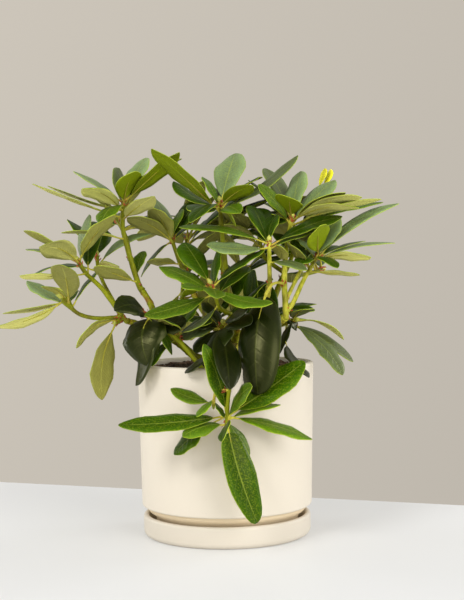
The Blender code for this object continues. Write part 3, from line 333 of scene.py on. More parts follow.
# Masses of foliage, each growing on from its bough's tip (or from the trunk)
MASSES = (
    Mass("foliage_tall_left", "bough_tall_left", 11, (
        Shoot(((-97, -10, 276), (-107, -10, 314), (-106.5, -10, 341)), radius=3.0, whorl=2, leaves=(
            soft(-52, 34, 25, 20, 5.5, 2), pale(-43, 16, -50, 28, -16, 6), pale(-79, 19, 12, 18, -3, -2),
            pale(-94, 35, 0, 20, -3.2, -1, 14), pale(-66, 5, -30, 18, -3.4, 3, 35),
            lime(12, 34, -46, 28, -23), grey(-4, 37, 34, 25, 14), soft(23, 48, 46, 26, 17),
            lime(58, 54, -34, 30, -15, 1), pale(33, 26, -50, 26, -17, 1, 18), fresh(-24, -22, -52, 24, 11, 8),
            olive(-44, 13, -38, 24, -14, 1, 80)),
            more=(fresh(8, 25, 20, 15, 12, 3, 76),)),
        Shoot(((-104, 22, 306), (-112, 46, 322)), fork=(0, 0.35), whorl=8),
    )),
    Mass("foliage_far_left", "bough_left", 12, (
        Shoot(((-115, -28, 234), (-130, -24, 254), (-145, -21, 268), (-152.3, -20, 279)),
            radius=2.8, whorl=1, leaves=(
            pale(-42, 17, -50, 29, -24, 7), soft(-56, 15, 26, 20, 5), pale(-67, -5, -60, 20, -5.5, -1, 9),
            olive(36, 51, -32, 26, -15), soft(10, 51, 32, 20, 10), olive(-58, 34, 16, 22, -7, 4))),
        Shoot(((-124, 10, 252), (-132, 26, 270), (-134, 30, 284)),
            fork=(0, 0.12), radius=2.3, whorl=4, leaves=(
            soft(57, 26, 22, 21, 8, 9), pale(23, -8, -30, 16, -6, 2), deep(-31, 41, 14, 20, 9, 5))),
        Shoot(((-112, -30, 223), (-135, -26, 222), (-152, -22, 226), (-161, -20, 233), (-167, -20, 241)),
            fork=(0, 0.09), radius=2.4, bud=(5.5, 14), whorl=1, leaves=(
            olive(-5, 37, -50, 30, -27, 5), olive(-25, 14, -22, 14, -7, 6), soft(-40, 20, 36, 22, 11, -2),
            pale(-65, -14, 24, 22, -5, -2), pale(-76, -28, 18, 24, -10, -6), deep(32, 45, 22, 20, 4, 4, 12))),
        Shoot(((-112, -33, 219),), fork=(0, 0.06), radius=2.4, bud=(2.2, 5), leaves=(
            olive(-17, -82, 16, 29, -23, 6, sway=-3), olive(-44, -28, -22, 19, -8, 9))),
    )),
    Mass("foliage_low_left", "trunk", 13, (
        Shoot(((-12, -38, 164), (-25, -50, 170), (-48, -48, 197), (-84, -46, 226)), fork=(-3, -10, 174),
            radius=2.8, leaves=(
            dark(-32, 4, -28, 30, 20, 9, full=0.6, start=0.02),
            dark(5, -54, -24, 48, 45, 12, sway=8, full=1.0, blunt=0.0, start=0.02, dome=0.4),
            dark(-10, -74, -8, 26, 15, 5, sway=-12), deep(28, -42, -36, 18, 8, 5)),
            more=(dark(43, -6, -8, 26, 20, -4),)),
        Shoot(((-50, -38, 202),), fork=(0, 0.62), radius=2.6, bud=(3.4, 10), leaves=(
            olive(-15, 19, -36, 24, -14), deep(19, 34, 30, 24, 14), deep(35, 16, -22, 22, 8)),
            more=(deep(-27, -30, -30, 14, 8, 6),)),
    )),
    Mass("foliage_top", "bough_centre", 14, (
        Shoot(((-1, 0, 282), (-4, 0, 311), (-6.2, 0, 339.6)), radius=3.0, whorl=3, leaves=(
            lime(-71, 59, -58, 28, -15, 2), deep(-48, 25, 30, 22, 9, -4), soft(16, 54, 56, 34, 30, 6),
            fresh(-17, 29, 30, 17, 9), lime(34, 21, -48, 24, -16, 3), grey(81, 52, 40, 22, 8, -6),
            fresh(21, -8, -52, 21, 10, 7), deep(-33, -5, -38, 24, 10, 0), deep(-31, -18, -44, 22, 9, 7),
            olive(28, -24, 42, 26, -14, 5), lime(17, -22, -18, 16, -4, 3))),
    )),
    Mass("foliage_front", "bough_front", 15, (
        Shoot(((3, -46, 227), (-6, -54, 232.5), (-9.5, -58, 241), (-14.6, -60, 254)),
            radius=2.6, whorl=1, leaves=(
            deep(-29, 47, 34, 28, 23, 4, blunt=0.9, sway=-4), fresh(-55, 22, 24, 25, 14.5),
            fresh(-31, 0, -28, 17, 6, 2), fresh(-70, -29, -20, 26, 16, -2), fresh(63, -16, -38, 26, 13.5, -5),
            fresh(5, -11, -54, 22, 19, 3), deep(5, 38, 36, 20, 10), deep(55, 40, 20, 22, 7),
            lime(-31, -10, 30, 18, -6)),
            more=(grey(-36, -28, -10, 16, 6, -3, 20),)),
    )),
    Mass("foliage_right_front", "bough_right_front", 16, (
        Shoot(((45.5, -38, 268), (45.2, -40, 284), (45.2, -40, 299)), radius=2.6, whorl=2, leaves=(
            fresh(-94, 18, 8, 22, 7, 6), soft(-65, -1, -24, 24, 13, -3), deep(-18, 40, 46, 28, 18.5),
            deep(9, 31, 42, 22, 10), deep(76, 29, 14, 25, 12, 5), fresh(51, 15, 30, 22, 8),
            grey(39, -14, -32, 20, 7, 5, 13), olive(14, -16, 46, 25, -12))),
    )),
    Mass("foliage_right", "bough_right", 17, (
        Shoot(((61.4, -29, 246), (60.8, -26, 266), (62.6, -14, 290), (66, -2, 312), (68.6, 4, 323)),
            radius=3.2, whorl=2, leaves=(
            bright(-35, 38, -10, 22, 11, 2), deep(-45, 43, 32, 16, 4), lime(-2, 25, -60, 30, -28, 6),
            soft(9, 52, 44, 27, 20), soft(45, 43, 30, 27, 18), grey(-27, 55, 72, 27, 17),
            olive(56, 30, -32, 23, -10, 6), pale(73, 25, -26, 25, -11, 6), pale(93, 23, -8, 21, -6, 5),
            fresh(95, 20, 20, 20, 5, 4), pale(70, 14, -38, 23, -10, 7),
            new(34, 55, 66, 9, 5, 2, sway=12, start=0.6), new(40, 54, 62, 9, 5, 2, sway=12, start=0.6))),
        Shoot(((70, -28, 238), (79, -24, 258), (88, -14, 274), (95.2, -4, 285.5)), fork=(0, 0.07), radius=2.6,
            bud=(3.8, 9), whorl=2, leaves=(
            fresh(50, 17, 32, 16, 3), soft(81, 15, 10, 18, 3.6, 5), pale(56, 0, -36, 25, -9.5, 3),
            deep(21, -11, -44, 19, 6, 6), pale(52, -6, 2, 14, -5, 0, 18), deep(-21, -7, -34, 18, 7),
            soft(-18, 18, 38, 21, 9), lime(3, 33, -46, 28, -22), soft(24, 41, -8, 28, 19),
            soft(85, 56, 28, 20, 10, 9.5))),
        Shoot(((67, -22, 250), (77, -8, 270), (81, -2, 278)), fork=(0, 0.16), radius=2.2, whorl=1, leaves=(
            olive(-12, 20, -46, 24, -13), deep(10, 22, 42, 22, 9))),
        Shoot(((56, -38, 259), (48, -50, 257), (42.5, -60, 248)),
            fork=(0, 0.32), radius=1.9, bud=(1.6, 2), leaves=(
            dark(-9, -106, -42, 45, 44, 14, full=0.9, start=0.02, blunt=1.0, sway=5, dome=0.7),)),
    )),
    Mass("foliage_low_right", "bough_low_right", 18, (
        Shoot(((60, 16, 216), (68.6, 10, 219)), radius=2.6, whorl=2, leaves=(
            grey(53, -56, -34, 25, 14, 6, sway=-5), grey(64, -42, 14, 25, 10, 3),
            pale(54, -19, 22, 16, -2.6, 9), dull(21, 13, -48, 23, -10), deep(-5, 6, -54, 22, 9, 6),
            dark(5, -10, -44, 17, 7, 6), dark(-13, -34, -34, 18, 7, 6),
            dark(17, -58, -50, 24, 14, -6, sway=12, start=0.45))),
    )),
    # Inner leaves, nearly all dark: their own dark green and painted shade of the crown's inside
    Mass("foliage_low_centre", "trunk", 19, (
        Shoot(((-6, -24, 200), (-4, -36, 214)), fork=(0, -9, 190), radius=2.6, whorl=2, leaves=(
            dark(-31, 3, -40, 27, 12, 5), dark(-7, -30, -50, 34, 24, 10),
            dark(-39, -49, -40, 24, 9, 0, sway=-16, start=0.66), dark(8, -66, -60, 30, 27, 10),
            dark(-14, 24, 34, 26, 14), dark(30, 2, -34, 27, 14, 6), grey(-46, -14, -6, 26, 13, 4),
            dark(24, 14, -30, 24, 9)),
            more=(dark(-28, -28, -14, 24, 13), dark(14, -50, -50, 30, 24, 6), dark(21, -70, -62, 24, 18, 9))),
    )),
    Mass("foliage_over_pot", "bough_over_rim", 20, (
        Shoot(((9.2, -90, 176.5), (8.6, -99, 170.5), (6.8, -104, 160), (3.7, -107, 149), (1.6, -108, 130),
            (1, -108, 113)), radius=2.5, bud=(2.2, 6), leaves=(
            lush(-113, -2, -6, 24, 17.5, -1, full=0.5),
            lush(32, -104, -8, 33, 31, 6, full=0.9, blunt=0.9, start=0.12, sway=10),
            fresh(-46, -14, -16, 21, 15.5, 3), bright(89, -17, 6, 25, 12.5, 3),
            lush(81, 64, 30, 35, 30, -3, full=0.3, blunt=0.6), bright(56, 19, 8, 22, 8),
            lush(-24, 82, -2, 25, 19, 3, full=0.4), deep(-55, -33, 4, 24, 16, 3, start=0.3),
            fresh(23, -36, 5, 22, 15, 0), deep(-5, -19, -38, 18, 8), fresh(26, 38, -30, 22, 12))),
        Shoot(((-10, -106, 146), (-12.5, -107, 133.6)), fork=(0, 0.60), radius=1.9, bud=(1.6, 4), leaves=(
            fresh(-45, 15, 4, 20, 13, -3), fresh(-18, -14, -16, 13, 7, 2), deep(11, -15, -14, 11, 5, 2))),
    )),
    Mass("foliage_back_left", "bough_back_left", 21, (
        Shoot(((-48, 31, 280), (-55.6, 30, 302)), radius=2.6, whorl=1, leaves=(
            olive(-20, 35, -46, 28, -20), olive(-47, 25, -36, 27, -16, 5), soft(-21, 47, 42, 29, 18),
            fresh(9, 33, 22, 17, 9), deep(14, 14, 52, 19, 8), olive(-33, -2, -22, 19, -8, 0, 20),
            deep(-33, -37, 16, 19, 4, 4))),
        Shoot(((-42, 60, 288), (-40, 84, 306)), fork=(0, 0.15), whorl=9),
        Shoot(((-44, 52, 266), (-46, 76, 240)), fork=(0, 0.18), whorl=7),
    )),
    Mass("foliage_back", "bough_back", 22, (
        Shoot(((-4, 84, 284), (-6, 92, 310)), radius=2.8, whorl=10),
        Shoot(((12, 100, 262), (20, 122, 272)), fork=(0, 0.1), whorl=8),
    )),
    Mass("foliage_back_right", "bough_back_right", 23, (
        Shoot(((68, 66, 284), (74, 70, 306)), radius=2.8, whorl=9),
        Shoot(((84, 82, 268), (98, 98, 272)), fork=(0, 0.1), whorl=8),
        Shoot(((40, 60, 286), (34, 58, 312)), fork=(0, 0.2), whorl=6),
    )),
    Mass("foliage_low_back", "trunk", 34, (
        Shoot(((14, 30, 196), (24, 54, 208)), fork=(5, 10, 186), radius=2.6, whorl=7, more=(
            deep(6, 64, 8, 24, 15), olive(22, 56, 16, 24, 13))),
        Shoot(((-16, 44, 204), (-26, 62, 212)), fork=(0, 0.3), whorl=7),
    )),
)


def rolled(across, height, angle):
    """A place on the front view, turned about the view's middle."""
    dx, dz = across - VIEW_MIDDLE[0], height - VIEW_MIDDLE[1]
    return (VIEW_MIDDLE[0] + dx * math.cos(angle) + dz * math.sin(angle),
            VIEW_MIDDLE[1] - dx * math.sin(angle) + dz * math.cos(angle))


def front(point):
    """The place in space of (across, away, height) as laid out in the front view."""
    across, away, height = point
    x, z = rolled(across, height, VIEW_TURN)
    return EYE + (Vector((x, 0, z)) - EYE) * ((away - EYE.y) / -EYE.y)


def front_view(point):
    """Where a place in space shows on the front view: across and height."""
    flat = EYE + (point - EYE) * (-EYE.y / (point.y - EYE.y))
    return rolled(flat.x, flat.z, -VIEW_TURN)


def smooth_path(points, steps):
    """A smooth curve through the points, with a few steps between each two."""
    points = [Vector(p) for p in points]
    ends = [2 * points[0] - points[1]] + points + [2 * points[-1] - points[-2]]
    curve = []
    for i in range(1, len(ends) - 2):
        a, b, c, d = ends[i - 1:i + 3]
        for k in range(steps):
            t = k / steps
            curve.append(0.5 * (2 * b + (c - a) * t + (2 * a - 5 * b + 4 * c - d) * t * t
                                + (3 * b - a - 3 * c + d) * t ** 3))
    return curve + [points[-1]]


def path_length(path):
    return sum((b - a).length for a, b in zip(path, path[1:]))


def end_way(path):
    """The direction in which a path ends."""
    return (path[-1] - path[-2]).normalized()


def along(path, share):
    """The point at a share (0 to 1) of a path's length, and the way the path runs there."""
    left = share * path_length(path)
    for a, b in zip(path, path[1:]):
        step = (b - a).length
        if left <= step:
            return a.lerp(b, left / step), (b - a).normalized()
        left -= step
    return path[-1].copy(), end_way(path)


def between(values, share):
    """The value at a share (0 to 1) of an evenly spaced row of values."""
    place = share * (len(values) - 1)
    low = min(int(place), len(values) - 2)
    return values[low] + (values[low + 1] - values[low]) * (place - low)


def frame_at(place, side, way):
    """The frame at a place whose x runs to the side and whose z runs on."""
    return Matrix.Translation(place) @ Matrix((side, way.cross(side), way)).transposed().to_4x4()


def ring_frames(path):
    """A frame at each point of a path, turned as little as possible from one to the next."""
    frames = []
    side = None
    for i, point in enumerate(path):
        way = (path[min(i + 1, len(path) - 1)] - path[max(i - 1, 0)]).normalized()
        if side is None:
            side = way.orthogonal()
        side = (side - way * side.dot(way)).normalized()
        frames.append(frame_at(point, side, way))
    return frames


# Rule of growth, as in the solids


def loft(bm, frames, sizes, sides):
    """A closed solid: a ring on the first frame, drawn on through the others. Sizes are (x, y)."""
    ring = bmesh.ops.create_circle(bm, cap_ends=True, segments=sides, radius=1)["verts"]
    face = ring[0].link_faces[0]
    places = {vert: vert.co.copy() for vert in face.verts}
    for step, (frame_here, size) in enumerate(zip(frames, sizes)):
        if step:
            grown = bmesh.ops.extrude_face_region(bm, geom=[face])["geom"]
            end = next(g for g in grown if isinstance(g, bmesh.types.BMFace))
            if step > 1:
                bmesh.ops.delete(bm, geom=[face], context="FACES_ONLY")
            places = {next(e.other_vert(vert) for e in vert.link_edges if e.other_vert(vert) in end.verts):
                      place for vert, place in places.items()}
            face = end
        for vert, place in places.items():
            vert.co = frame_here @ Vector((place.x * size[0], place.y * size[1], 0))
    return face


def blade_point(blade, share):
    """A point on a leaf's midline."""
    return blade.base.lerp(blade.tip, share) + blade.arch * (4 * share * (1 - share))


def leaf_body(blade, margin=0.0, start=0.0):
    """One leaf as the solid that the clearance rule tests."""
    half = blade.width / 2
    stalk = STALK_WIDTH / 2
    if start < STALK_SHARE:
        sections = [(start, stalk, stalk), (STALK_SHARE, stalk * STALK_FLARE, stalk)]
    else:
        widen = (start - STALK_SHARE) / (BLADE_SECTIONS[0][0] - STALK_SHARE)
        sections = [(start, stalk + (half - stalk) * widen, stalk)]
    sections += [(share, half * wide, LEAF_BODY / 2) for share, wide in BLADE_SECTIONS]
    sections += [(1.0, TIP_WIDTH, TIP_WIDTH)]
    frames, sizes = [], []
    for share, wide, thick in sections:
        before = blade_point(blade, max(share - MIDLINE_STEP, 0))
        way = (blade_point(blade, min(share + MIDLINE_STEP, 1)) - before).normalized()
        frames.append(frame_at(blade_point(blade, share), way.cross(blade.normal).normalized(), way))
        sizes.append(((wide + margin) / CORNER_REACH, thick + margin))
    bm = bmesh.new()
    tip_face = loft(bm, frames, sizes, 3)
    if not margin:
        bmesh.ops.pointmerge(bm, verts=tip_face.verts[:], merge_co=blade.tip)
    bmesh.ops.triangulate(bm, faces=bm.faces[:])
    return bm


def turned_normal(base, tip, width, shown):
    """The top normal of a leaf that shows the asked width from the front."""
    way = (tip - base).normalized()
    middle = base.lerp(tip, 0.5)
    view = (middle - EYE).normalized()
    flat = view.cross(way).normalized()
    deep_way = way.cross(flat)
    scale = (middle.y - EYE.y) / -EYE.y
    lean = math.acos(min(1.0, abs(shown) * scale / width))
    best = None
    for turn in (lean, -lean):
        normal = (flat * math.cos(turn) + deep_way * math.sin(turn)).cross(way)
        if normal.dot(-view) * shown < 0:
            normal = -normal
        if best is None or normal.z > best.z:
            best = normal
    return best


def make_blade(base, tip, width, normal, bow):
    """A leaf that arches upwards by its bow, or towards its top side where it hangs steeply."""
    way = (tip - base).normalized()
    lift = UP - way * UP.dot(way)
    lift = lift.normalized() if lift.length > LEVEL_ENOUGH else normal
    return Blade(base, tip, normal, lift * bow, width)


def placed_blade(stem, row, rng, swing):
    """A leaf set by its row, swung in depth."""
    length = path_length(stem)
    node = along(stem, max(0.0, 1 - (row.down + HUB_PAST) / length))[0]
    root = along(stem, max(STEM_BARE / length, 1 - (row.down + rng.uniform(0, HUB_LENGTH)) / length))[0]
    tip = front((node.x + row.across, node.y + row.away + swing, node.z + row.up))
    base = front(root)
    return make_blade(base, tip, row.width, turned_normal(base, tip, row.width, row.shown), row.bow)


def whorl_blade(stem, index, rng, turn, back_only):
    """A leaf of a whorl: round the shoot by the golden angle, spreading, its tip drooping."""
    length = path_length(stem)
    root, way = along(stem, max(STEM_BARE / length, 1 - rng.uniform(0, WHORL_LENGTH) / length))
    base = front(root)
    axis = (way + UP).normalized()
    flat = axis.orthogonal().normalized()
    round_angle = index * GOLDEN_ANGLE + turn
    spread = math.radians(rng.uniform(*WHORL_SPREAD))
    out = flat * math.cos(round_angle) + axis.cross(flat) * math.sin(round_angle)
    reach = rng.uniform(*WHORL_REACH)
    heading = (axis * math.cos(spread) + out * math.sin(spread)).normalized()
    if back_only and heading.y < BACKWARD:
        return None
    normal = heading.cross(UP).cross(heading).normalized()
    normal = Matrix.Rotation(math.radians(rng.uniform(*WHORL_ROLL)), 3, heading) @ normal
    return make_blade(base, base + heading * reach, rng.uniform(*WHORL_WIDTH), normal,
                      rng.uniform(*WHORL_BOW))


def tree_of(bm):
    """Turns a mesh in the making into a tree that tells what it overlaps, and frees it."""
    tree = BVHTree.FromBMesh(bm)
    bm.free()
    return tree


class Room:
    """The solids already in place, by node, which a new leaf has to keep clear of."""

    def __init__(self):
        self.parts = []

    def add(self, node, solid, blade_only=None):
        self.parts.append((node, tree_of(solid), blade_only and tree_of(blade_only)))

    def clear(self, node, blade):
        """Whether a leaf is clear of the other nodes, and whether its blade is clear of its own's."""
        probe = tree_of(leaf_body(blade, margin=CLEAR))
        if any(probe.overlap(solid) for other, solid, own in self.parts if other != node):
            return False, False
        probe = tree_of(leaf_body(blade, margin=OWN_CLEAR, start=OWN_START))
        return True, not any(probe.overlap(own) for other, solid, own in self.parts if own and other == node)

    def settle(self, node, candidates):
        """Takes in the first candidate that is clear of all; failing that, one that only meets its own."""
        spare = None
        for blade in candidates:
            others, own = self.clear(node, blade)
            if others and (own or spare is None):
                spare = blade
            if others and own:
                break
        if spare is not None:
            self.add(node, leaf_body(spare), leaf_body(spare, start=OWN_START))
        return spare


def in_sky(blade):
    """True where a whorl's leaf would close a gap that shows sky from the front."""
    for share in SKY_SHARES:
        across, height = front_view(blade_point(blade, share))
        if any(l < across < r and b < height < t for l, r, b, t in SKY):
            return True
    return False


def shoot_paths(mass, layouts):
    """The way of each shoot in a mass, in the front layout, from its bough's tip or its fork."""
    stems = []
    for item in mass.shoots:
        square = []
        if item.fork is None:
            tip, way = layouts[mass.bough][-1], end_way(layouts[mass.bough])
            square = [tip + way * GAP]
            start = tip + way * (GAP + STEM_STRAIGHT)
        elif len(item.fork) == 3:
            start = Vector(item.fork)
        else:
            start = along(stems[item.fork[0]], item.fork[1])[0]
        stem = square + smooth_path((start,) + item.path, TWIG_STEPS)
        stems.append(stem + [stem[-1] + end_way(stem) * HUB_PAST])
    return stems


def grow_placed(mass, stems, room, kind, seed):
    """The leaves of a mass that have a row of their own, under "leaves" or "more"."""
    grown = []
    rng = random.Random(seed)
    for item, stem in zip(mass.shoots, stems):
        for row in getattr(item, kind):
            state = rng.random()
            choices = (placed_blade(stem, row, random.Random(state), swing) for swing in SWINGS)
            grown.append((room.settle(mass.name, choices), row))
    return [entry for entry in grown if entry[0] is not None]


def grow_whorls(mass, stems, room):
    """The leaves that a mass's shoots grow round themselves by rule."""
    grown = []
    rng = random.Random(mass.seed + len(MASSES))
    for item, stem in zip(mass.shoots, stems):
        start = rng.uniform(0, math.tau)
        for index in range(item.whorl):
            choices = [whorl_blade(stem, index, rng, start + step * WHORL_TURN, bool(item.leaves))
                       for step in range(WHORL_TURNS)]
            choices = [blade for blade in choices if blade is not None and not in_sky(blade)]
            grown.append((room.settle(mass.name, choices), None))
    return [entry for entry in grown if entry[0] is not None]


def tip_radius(item):
    return max(TWIG_TIP_RADIUS, item.radius * TWIG_TAPER)


def twig_body(stem, item):
    """A shoot's twig as the solid that the clearance rule tests."""
    path = [front(p) for p in stem]
    way = end_way(path)
    swell, length = item.bud
    radii = [between((item.radius, tip_radius(item)), i / (len(path) - 1)) for i in range(len(path))]
    path += [path[-1] + way * (length * BUD_WAIST), path[-1] + way * length]
    radii += [swell, swell * BUD_POINT]
    bm = bmesh.new()
    loft(bm, ring_frames(path), [(r, r) for r in radii], 3)
    bmesh.ops.triangulate(bm, faces=bm.faces[:])
    return bm


def grow_plant():
    """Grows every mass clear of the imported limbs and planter: its twigs' ways and its leaves."""
    room = Room()
    layouts = {limb.name: smooth_path(limb.path, 2) for limb in (TRUNK,) + BOUGHS}
    for name in ["saucer", "pot", "soil"] + list(layouts):
        bm = bmesh.new()
        bm.from_mesh(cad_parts[name].data)
        bmesh.ops.scale(bm, vec=(1 / MM, 1 / MM, 1 / MM), verts=bm.verts[:])
        room.add(name, bm)
    stems = {mass.name: shoot_paths(mass, layouts) for mass in MASSES}
    for mass in MASSES:
        for stem, item in zip(stems[mass.name], mass.shoots):
            room.add(mass.name, twig_body(stem, item))
    leaves = {mass.name: grow_placed(mass, stems[mass.name], room, "leaves", mass.seed) for mass in MASSES}
    for mass in MASSES:
        leaves[mass.name] += grow_whorls(mass, stems[mass.name], room)
    for mass in MASSES:
        leaves[mass.name] += grow_placed(mass, stems[mass.name], room, "more", mass.seed + MORE_SEED)
    return stems, leaves


# Shapes that are copied and bent into place


def keep_mesh(bm, name):
    """Keeps a mesh in the making under a name."""
    mesh = bpy.data.meshes.new(name)
    bm.to_mesh(mesh)
    bm.free()
    return mesh


def leaf_template(rows, columns):
    """A flat leaf, drawn down from its top to an underside: x runs along it, y across, z is 0 or -1.
    Its first map follows the leaf, and its second lays top, underside and rim beside each other."""
    bm = bmesh.new()
    bmesh.ops.create_grid(bm, x_segments=rows, y_segments=columns, size=1)
    grown = bmesh.ops.extrude_face_region(bm, geom=bm.faces[:], use_keep_orig=True)["geom"]
    bmesh.ops.translate(bm, vec=(0, 0, -1), verts=[g for g in grown if isinstance(g, bmesh.types.BMVert)])
    bmesh.ops.recalc_face_normals(bm, faces=bm.faces[:])
    way = bm.loops.layers.uv.new("leaf")
    atlas = bm.loops.layers.uv.new("OFBake")
    for face in bm.faces:
        upright = abs(face.normal.z) > 0.5
        face.material_index = (0 if face.normal.z > 0 else 1) if upright else 2
        face.smooth = True
        low = ATLAS_LOW[face.material_index]
        for loop in face.loops:
            x, y, z = loop.vert.co
            loop[way].uv = (x / 2 + 0.5, y / 2 + 0.5)
            run = ATLAS_MARGIN + ATLAS_LENGTH * (x + 1)
            if upright:
                loop[atlas].uv = (run, low + ATLAS_WIDTH * (y + 1))
            elif abs(face.normal.y) > 0.5:
                loop[atlas].uv = (run, low + (ATLAS_MARGIN if y > 0 else 0.0) + ATLAS_RIM * (z + 1))
            else:
                loop[atlas].uv = (0.5 + ATLAS_END * x + ATLAS_END_RIM * z, low + ATLAS_MARGIN * (y + 1))
    return keep_mesh(bm, "leaf_template")


def tube_template(sides, rings):
    """A round bar of radius 1 from z = -0.5 to 0.5, with evenly spaced rings."""
    bm = bmesh.new()
    bmesh.ops.create_cone(bm, cap_ends=True, segments=sides, radius1=1, radius2=1, depth=1)
    upright = [e for e in bm.edges if abs(e.verts[0].co.z - e.verts[1].co.z) > 0.5]
    bmesh.ops.subdivide_edges(bm, edges=upright, cuts=rings - 1)
    for face in bm.faces:
        face.smooth = len(face.verts) == 4
    return keep_mesh(bm, "tube_template")


def ball_template(sides, rings):
    bm = bmesh.new()
    bmesh.ops.create_uvsphere(bm, u_segments=sides, v_segments=rings, radius=1)
    for face in bm.faces:
        face.smooth = True
    return keep_mesh(bm, "ball_template")


def chip_template():
    """A small block with a few cuts, which is bent into a chip of bark."""
    bm = bmesh.new()
    bmesh.ops.create_cube(bm, size=2)
    bmesh.ops.subdivide_edges(bm, edges=bm.edges[:], cuts=1, use_grid_fill=True)
    return keep_mesh(bm, "chip_template")


def copy_in(bm, template, tint, slots=(0,)):
    """Adds a template to a mesh in the making, with its tint and the slots of its faces, and returns its
    vertices and faces."""
    layer = bm.verts.layers.float.get("tint") or bm.verts.layers.float.new("tint")
    first_vert, first_face = len(bm.verts), len(bm.faces)
    bm.from_mesh(template)
    bm.verts.ensure_lookup_table()
    bm.faces.ensure_lookup_table()
    verts, faces = bm.verts[first_vert:], bm.faces[first_face:]
    for vert in verts:
        vert[layer] = tint
    for face in faces:
        face.material_index = slots[face.material_index]
    return verts, faces


def shape_tube(bm, template, path, radius_at, slot=0, tint=0.5):
    """A bar bent along a path. radius_at gives the radius at a share of the length and an angle."""
    verts = copy_in(bm, template, tint, (slot,))[0]
    rings = sorted({round(v.co.z, 4) for v in verts})
    frames = dict(zip(rings, ring_frames([along(path, z + 0.5)[0] for z in rings])))
    for vert in verts:
        x, y, z = vert.co
        radius = radius_at(z + 0.5, math.atan2(y, x))
        vert.co = frames[round(z, 4)] @ Vector((x * radius, y * radius, 0))


def skin_noise(angle, run, turns, pitch, phase=0):
    """Noise on the skin of a bar, at an angle round it and a length along it: more turns make it finer
    round the bar, and a lower pitch along it."""
    return noise.noise(Vector((math.cos(angle) * turns + phase, math.sin(angle) * turns, run / pitch)))


def swayed_point(blade, look, share):
    """A point of a leaf's midrib, with its bend to the side."""
    across_way = (blade.tip - blade.base).cross(blade.normal).normalized()
    return blade_point(blade, share) + across_way * (look.sway * 4 * share * (1 - share))


def shape_leaf(bm, template, blade, slots, look, cell=None):
    """A leaf bent into place: folded at its midrib, rolled down at its edges and waved. Its cell is its
    column and row in the second map, and how many of them there are."""
    verts, faces = copy_in(bm, template, look.tint, slots)
    power_base = OUTLINE_BASE * (1 - look.full) + FULL_BASE * look.full
    power_tip = OUTLINE_TIP * (1 - look.blunt) + BLUNT_TIP * look.blunt
    peak = power_base / (power_base + power_tip)
    highest = peak ** power_base * (1 - peak) ** power_tip
    half = blade.width / 2
    for vert in verts:
        x, y, z = vert.co
        run = 0.5 - 0.5 * math.cos(math.pi * (x + 1) / 2)
        share = look.start + (1 - look.start) * run
        way = (swayed_point(blade, look, min(share + MIDRIB_STEP, 1))
               - swayed_point(blade, look, max(share - MIDRIB_STEP, 0))).normalized()
        side = way.cross(blade.normal).normalized()
        lift = side.cross(way)
        turn = look.twist * (run - TWIST_MIDDLE)
        side, lift = (side * math.cos(turn) + lift * math.sin(turn),
                      lift * math.cos(turn) - side * math.sin(turn))
        wide = half * max(run ** power_base * (1 - run) ** power_tip / highest, EDGE_WIDTH / half)
        wave = look.wave * math.sin(math.tau * look.waves * run + look.phase + (FAR_WAVE if y > 0 else 0))
        height = wide * (look.fold * abs(y) - look.roll * y * y + wave * y * y)
        place = swayed_point(blade, look, share)
        vert.co = place + side * (y * wide) + lift * (height + z * look.thick)
    if cell is not None:
        column, row, columns, rows = cell
        atlas = bm.loops.layers.uv["OFBake"]
        for loop in (loop for face in faces for loop in face.loops):
            u, v = loop[atlas].uv
            loop[atlas].uv = ((column + u) / columns, (row + v) / rows)


def shape_bud(bm, template, base, way, swell, length, tint):
    """A pointed bud with scales that overlap in a spiral."""
    turn = way.to_track_quat("Z", "Y").to_matrix()
    for vert in copy_in(bm, template, tint)[0]:
        x, y, z = vert.co
        share = z / 2 + 0.5
        scale = (share * BUD_TURNS + math.atan2(y, x) / math.tau * 2) % 1
        radius = swell * math.sin(math.pi * min(1, share + BUD_FOOT) ** 1.25) ** 0.8 * (1.08 - 0.2 * scale)
        flat = Vector((x, y, 0))
        flat = flat.normalized() if flat.length > 1e-5 else flat
        vert.co = base + turn @ (flat * radius + UP * (share * length))


def put_in_scene(name, data):
    made = bpy.data.objects.new(name, data)
    bpy.context.scene.collection.objects.link(made)
    return made


def finish_piece(bm, name, finishes, replaced=()):
    """Turns millimetres to metres, makes the piece and ties it to the frame."""
    bmesh.ops.scale(bm, vec=(MM, MM, MM), verts=bm.verts[:])
    piece = put_in_scene(name, keep_mesh(bm, name))
    for finish in finishes:
        piece.data.materials.append(finish)
    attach(piece, BODY)
    if replaced:
        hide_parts(*replaced)


# Planter


def arc(centre_x, centre_z, radius, start, end, steps):
    """Points of a rounded corner, in degrees, both ends included."""
    angles = [math.radians(start + (end - start) * i / steps) for i in range(steps + 1)]
    return [(centre_x + radius * math.cos(angle), centre_z + radius * math.sin(angle)) for angle in angles]


